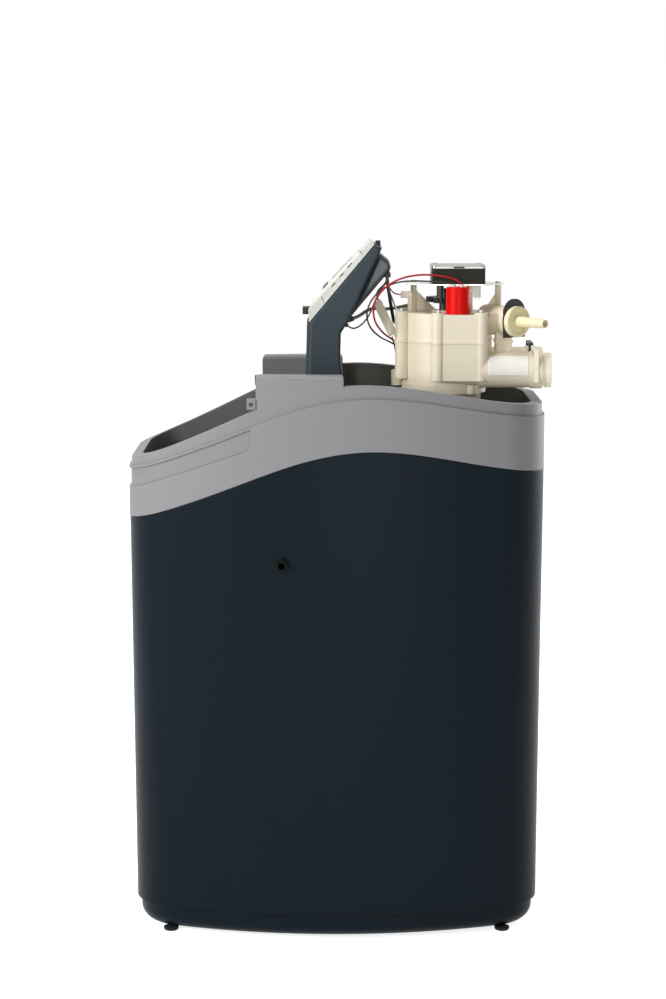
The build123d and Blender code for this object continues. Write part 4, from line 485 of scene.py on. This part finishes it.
label_mesh = bmesh.new()
label_rows = []
label_tall = port_radius * (label_high - label_low)
for step in range(label_steps + 1):
    climb = label_tall * step / label_steps
    short = min(climb, label_tall - climb)
    pull = 0
    if short < label_corner:
        pull = label_corner - math.sqrt(label_corner**2 - (label_corner - short) ** 2)
    turn = label_low + climb / port_radius
    out = port_radius + label_lift
    y, z = port_centre.y - out * math.cos(turn), port_centre.z + out * math.sin(turn)
    left, right = label_start + pull, label_end - pull
    label_rows.append([label_mesh.verts.new((left + (right - left) * share, y, z)) for share in label_shares])
for low, high in zip(label_rows, label_rows[1:]):
    for here in range(len(label_shares) - 1):
        label_mesh.faces.new((low[here], low[here + 1], high[here + 1], high[here]))
label_data = bpy.data.meshes.new("port_label")
label_mesh.to_mesh(label_data)
label_mesh.free()
label_data.shade_smooth()
label_finish = moulded("label_paper", label_white, roughness=0.55, tone=0.02, grain=1500.0, depth=0.05,
                       edge=0.0001)
port_label = new_piece("port_label", label_data, label_finish)
label_sheet = port_label.modifiers.new("paper", "SOLIDIFY")
label_sheet.thickness = label_thickness
label_sheet.offset = 1.0


# Drain outlet: a plate screwed to the cover's boss at the rear corner holds
# the paler barbed spigot that the drain hose is pushed onto.
drain_cream = (246, 236, 196)
dress(moulded("drain_plastic", drain_cream, roughness=0.4, gloss=0.4, tone=0.05, edge=0.0008),
      "drain_fitting")
dress(black_finish, "drain_plate")


# Chlorine cell: a red cap pushed over the cell's hub, with the crimped ends
# of its two wires under white sleeves on top.
cap_red, sleeve_white = (226, 8, 2), (236, 236, 228)
dress(moulded("cap_plastic", cap_red, roughness=0.34, gloss=0.12, tone=0.08, rub=0.0), "cell_cap")
dress(moulded("crimp_sleeve", sleeve_white, roughness=0.4, edge=0.0005), "cell_terminals")


# Drive: two lapped ceramic discs inside the body, the upper one turned by the
# spindle. Above the cover the spindle carries its gear, which the motor's
# pinion drives, all three of dark acetal.
disc_white, gear_black = (226, 224, 214), (38, 38, 39)
dress(moulded("disc_ceramic", disc_white, roughness=0.2, tone=0.03, edge=0.0004),
      "fixed_disc", "rotor_disc")
dress(moulded("gear_plastic", gear_black, roughness=0.42, gloss=0.4, edge=0.0004, rub=0.05),
      "spindle", "drive_gear", "motor_pinion")


# Motor: a bright plated plate, screwed down on the cover's pillars, carries
# the dark gear case with its lid of drawn steel.
plate_bright, motor_black, can_grey = (206, 211, 203), (32, 34, 29), (146, 148, 143)
dress(plated("plate_plating", plate_bright, roughness=0.34), "motor_plate")
dress(moulded("motor_plastic", motor_black, roughness=0.45, gloss=0.12, edge=0.0008, rub=0.03),
      "gear_motor")
can_finish = plated("can_steel", can_grey, roughness=0.34, grain=500.0)
dress(can_finish, "motor_can")


# Lid trim: four low steel screws with a cross in the head hold the motor's
# lid down, and a small dark inlay is pressed into the lid's near side.
lid_inset = 6.0 * mm
head_radius, head_height = 2.9 * mm, 0.55 * mm
cross_length, cross_width, cross_depth = 3.4 * mm, 0.8 * mm, 0.4 * mm
head_dome = ((1.0, 0.0), (1.0, 0.45), (0.93, 0.8), (0.78, 1.0))
head_steps = 24
quarter_turns = ((1, 0), (0, 1), (-1, 0), (0, -1))
inlay_length, inlay_height, inlay_thickness = 13.0 * mm, 1.9 * mm, 0.25 * mm
inlay_drop = 1.9 * mm
can_low, can_high = (Vector(corner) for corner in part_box("motor_can"))


def screw_head(name, centre):
    """A low domed screw head on top of centre, with a cross let into it."""
    head = bmesh.new()
    rings = []
    turns = [2 * math.pi * step / head_steps for step in range(head_steps)]
    for share, rise in head_dome:
        rings.append([head.verts.new((centre.x + head_radius * share * math.cos(turn),
                                      centre.y + head_radius * share * math.sin(turn),
                                      centre.z + head_height * rise)) for turn in turns])
    for low, high in zip(rings, rings[1:]):
        for here in range(head_steps):
            ahead = (here + 1) % head_steps
            head.faces.new((low[here], low[ahead], high[ahead], high[here]))
    head.faces.new(list(reversed(rings[0])))
    arm, half = cross_length / 2, cross_width / 2
    quarter = ((arm, -half), (arm, half), (half, half))
    plus = [(x * c - y * s, x * s + y * c) for c, s in quarter_turns for x, y in quarter]
    top = centre.z + head_height
    rim, base = ([head.verts.new((centre.x + x, centre.y + y, top - drop)) for x, y in plus]
                 for drop in (0, cross_depth))
    for here in range(len(plus)):
        ahead = (here + 1) % len(plus)
        head.faces.new((rim[here], base[here], base[ahead], rim[ahead]))
    head.faces.new(base)
    edges = [head.edges.get((loop[n - 1], loop[n])) for loop in (rings[-1], rim) for n in range(len(loop))]
    bmesh.ops.triangle_fill(head, edges=edges, use_beauty=True, normal=(0, 0, 1))
    shape = bpy.data.meshes.new(name)
    head.to_mesh(shape)
    head.free()
    new_piece(name, shape, can_finish)


for screw_side, screw_x in (("left", can_low.x + lid_inset), ("right", can_high.x - lid_inset)):
    for screw_row, screw_y in (("near", can_low.y + lid_inset), ("far", can_high.y - lid_inset)):
        screw_head(f"lid_screw_{screw_row}_{screw_side}", Vector((screw_x, screw_y, can_high.z)))

inlay_middle = Vector(((can_low.x + can_high.x) / 2, can_low.y, can_high.z - inlay_drop))
inlay = bmesh.new()
bmesh.ops.create_cube(inlay, size=1.0, matrix=Matrix.Translation(inlay_middle) @ Matrix.Diagonal(
    (inlay_length, 2 * inlay_thickness, inlay_height, 1.0)))
bmesh.ops.bevel(inlay, geom=inlay.edges[:], offset=inlay_thickness / 2, segments=2, affect="EDGES")
inlay_mesh = bpy.data.meshes.new("can_inlay")
inlay.to_mesh(inlay_mesh)
inlay.free()
new_piece("can_inlay", inlay_mesh, black_finish)


# Position switch: a small body of clear plastic fixed under the motor's plate,
# which tells the head how far the drive gear has come round.
switch_pale, switch_clear = (226, 226, 214), 0.35
switch_finish = moulded("switch_plastic", switch_pale, roughness=0.25, edge=0.0005, rub=0.1)
switch_finish.node_tree.nodes["Principled BSDF"].inputs["Transmission Weight"].default_value = switch_clear
dress(switch_finish, "position_switch")


# Meter: a caged turbine in the outlet port, read through the wall by the
# sensor behind its nylon plug.
turbine_white, nylon_cream = (232, 232, 230), (232, 225, 202)
dress(moulded("turbine_plastic", turbine_white, roughness=0.4, edge=0.0005),
      "turbine_cage", "turbine_rotor")
dress(moulded("plug_nylon", nylon_cream, roughness=0.45, edge=0.0005),
      "sensor_plug", "inline_connector")


# Control head: a dark grey column and slanted housing with its rear module,
# a paler strip up its front, and a white bezel and lid over the display and
# the three keys.
head_grey, module_grey, strip_grey = (45, 57, 64), (56, 67, 73), (58, 68, 74)
fascia_white, key_grey = (221, 222, 214), (90, 96, 101)
lens_grey, lens_clear = (60, 66, 70), 0.85
board_green = (24, 84, 42)
dress(moulded("head_plastic", head_grey, roughness=0.48, gloss=0.25, edge=0.0014, rub=0.04),
      "control_housing")
dress(moulded("module_plastic", module_grey, roughness=0.24, edge=0.002, rub=0.02), "rear_module")
dress(moulded("strip_plastic", strip_grey, roughness=0.48, gloss=0.3), "column_strip")
dress(moulded("fascia_plastic", fascia_white, roughness=0.6, gloss=0.25, tone=0.03, grain=700.0, depth=0.01,
              edge=0.0002, rub=0.02), "display_bezel", "display_cover")
lens_finish = moulded("lens_window", lens_grey, roughness=0.08, tone=0.02, grain=200.0, depth=0.02,
                      edge=0.0003)
lens_finish.node_tree.nodes["Principled BSDF"].inputs["Transmission Weight"].default_value = lens_clear
dress(lens_finish, "display_lens")
dress(moulded("board_lacquer", board_green, roughness=0.35, tone=0.25, grain=300.0, depth=0.5, edge=0.0003),
      "circuit_board")
dress(moulded("key_rubber", key_grey, roughness=0.6, gloss=0.3, edge=0.0006),
      "near_key", "middle_key", "far_key")
dress(black_finish, "cover_catches", "cable_glands")


# Wires: thin stranded copper in coloured plastic, cut to length, crimped or
# soldered at the ends and left hanging in loose curves between the head, the
# cell and the motor.
wire_red, wire_black, wire_brown, wire_grey = (172, 12, 20), (22, 21, 22), (74, 24, 26), (118, 116, 110)
lead_roundness, lead_smoothness = 4, 10
harness_side = 2.2
red_lead = moulded("lead_red", wire_red, roughness=0.34, gloss=0.3, tone=0.08, edge=0.0002, rub=0.0)
black_lead = moulded("lead_black", wire_black, roughness=0.36, tone=0.1, edge=0.0002, rub=0.0)
brown_lead = moulded("lead_brown", wire_brown, roughness=0.36, tone=0.1, edge=0.0002, rub=0.0)
grey_sheath = moulded("cable_sheath", wire_grey, roughness=0.45, gloss=0.4, tone=0.08, edge=0.0003,
                      rub=0.0)
cell_red_route = (
    (144.5, -45, 775.3), (142, -45.5, 778.5), (134, -46.5, 782.5), (118, -49, 786), (95, -52, 787.5),
    (70, -55, 783), (49.5, -57, 770), (39, -55, 751), (40.5, -48, 732), (50, -36, 718), (60, -22, 709.5),
    (68, -8.5, 704.5), (72.6, 6, 702), (73.2, 22, 701), (73.2, 36, 697), (72.6, 42, 687), (71, 35, 678),
    (69.3, 22, 677.5), (68.8, 10.5, 685), (69.4, 4, 696), (69.6, 2.2, 705.4), (66.6, 2.2, 711.6),
)
cell_black_route = (
    (135, -43.5, 775.3), (132, -43.7, 777.2), (122, -43.5, 778.2), (103, -44, 778.8), (84, -43.5, 779.6),
    (65, -42.5, 777.2), (47.5, -42, 768.5), (35.5, -41.5, 754), (31, -38, 738), (36, -31, 722),
    (48, -22, 710.5), (60, -16, 704.5), (67.5, -9.5, 700), (73, 1, 697), (73.3, 13, 694.5),
    (73.5, 25, 692), (73.5, 31, 684.5), (72.8, 27.5, 676), (70.5, 16, 673), (68.5, 4.5, 677.5),
    (67.8, -1.5, 687), (66.8, -2.2, 698), (62.9, -2.2, 709.9),
)
harness_shape = ((56.73, 782.75), (56.3, 776.2), (51.8, 770.5), (46.3, 765.8), (43.8, 759.4), (46.9, 753))
column_route = (
    (9.48, -25, 724.43), (14.4, -25, 720.8), (21.5, -25, 722.5), (29.5, -25, 729), (36.5, -25.5, 739.5),
    (42, -26.5, 755), (49.5, -27, 770), (56, -27, 776), (56.73, -27, 782.75),
)
cable_route = (
    (16.36, -12, 732.72), (22, -12.3, 734.6), (30, -8.5, 740), (38, 3, 743.4), (47, 10.5, 743),
    (60, 13.5, 742), (75, 21, 744.3), (88, 29, 747), (105, 34, 750), (124, 30, 756), (134, 22, 761.5),
    (140, 10, 764.8), (144.5, 1, 766), (150, -4, 766.2), (157.25, -4, 766),
)
motor_route = (
    (56.73, -13, 782.75), (57.4, -12.5, 773), (59.5, -10.5, 760), (62, -6, 745), (64.5, 6, 732),
    (66, 30, 724), (80, 54, 721), (106, 67, 722), (132, 67.5, 727), (147, 63, 741), (150, 58, 758),
    (150, 48, 774), (150, 38, 784), (150, 29, 784),
)
sensor_route = (
    (56.73, -6.5, 782.75), (57.6, -6.2, 775.5), (60.2, -5, 768), (64.4, -2.8, 762.8), (69, -0.4, 760.7),
    (73.5, 0, 760.5),
)
earth_route = (
    (56.73, -20, 782.75), (57.6, -20, 774.5), (60, -19.6, 764), (63.2, -19, 755.5), (65.68, -18.81, 748.74),
)


def hanging_lead(name, solid, route, width, finish):
    """A free lead on one smooth curve, in place of its plain tube."""
    curve = bpy.data.curves.new(name, "CURVE")
    curve.dimensions = "3D"
    curve.bevel_depth = width * mm / 2
    curve.bevel_resolution = lead_roundness
    curve.resolution_u = lead_smoothness
    curve.use_fill_caps = True
    line = curve.splines.new("NURBS")
    line.points.add(len(route) - 1)
    for point, place in zip(line.points, route):
        point.co = (place[0] * mm, place[1] * mm, place[2] * mm, 1.0)
    line.order_u = 3
    line.use_endpoint_u = True
    lead = new_piece(name, curve, finish)
    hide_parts(solid)


hanging_lead("wire_cell_red", "cell_wire_red", cell_red_route, width=2.3, finish=red_lead)
hanging_lead("wire_cell_black", "cell_wire_black", cell_black_route, width=2.0,
             finish=black_lead)
hanging_lead("wire_harness_red", "harness_red", [(x, harness_side, z) for x, z in harness_shape], width=1.9,
             finish=red_lead)
hanging_lead("wire_harness_black", "harness_black", [(x, -harness_side, z) for x, z in harness_shape],
             width=1.9, finish=black_lead)
hanging_lead("wire_column", "column_lead", column_route, width=1.9, finish=brown_lead)
hanging_lead("wire_flat", "flat_cable", cable_route, width=4.0, finish=grey_sheath)
hanging_lead("wire_motor", "motor_lead", motor_route, width=4.2, finish=black_lead)
hanging_lead("wire_sensor", "sensor_lead", sensor_route, width=1.6, finish=red_lead)
hanging_lead("wire_earth", "earth_lead", earth_route, width=1.6, finish=black_lead)
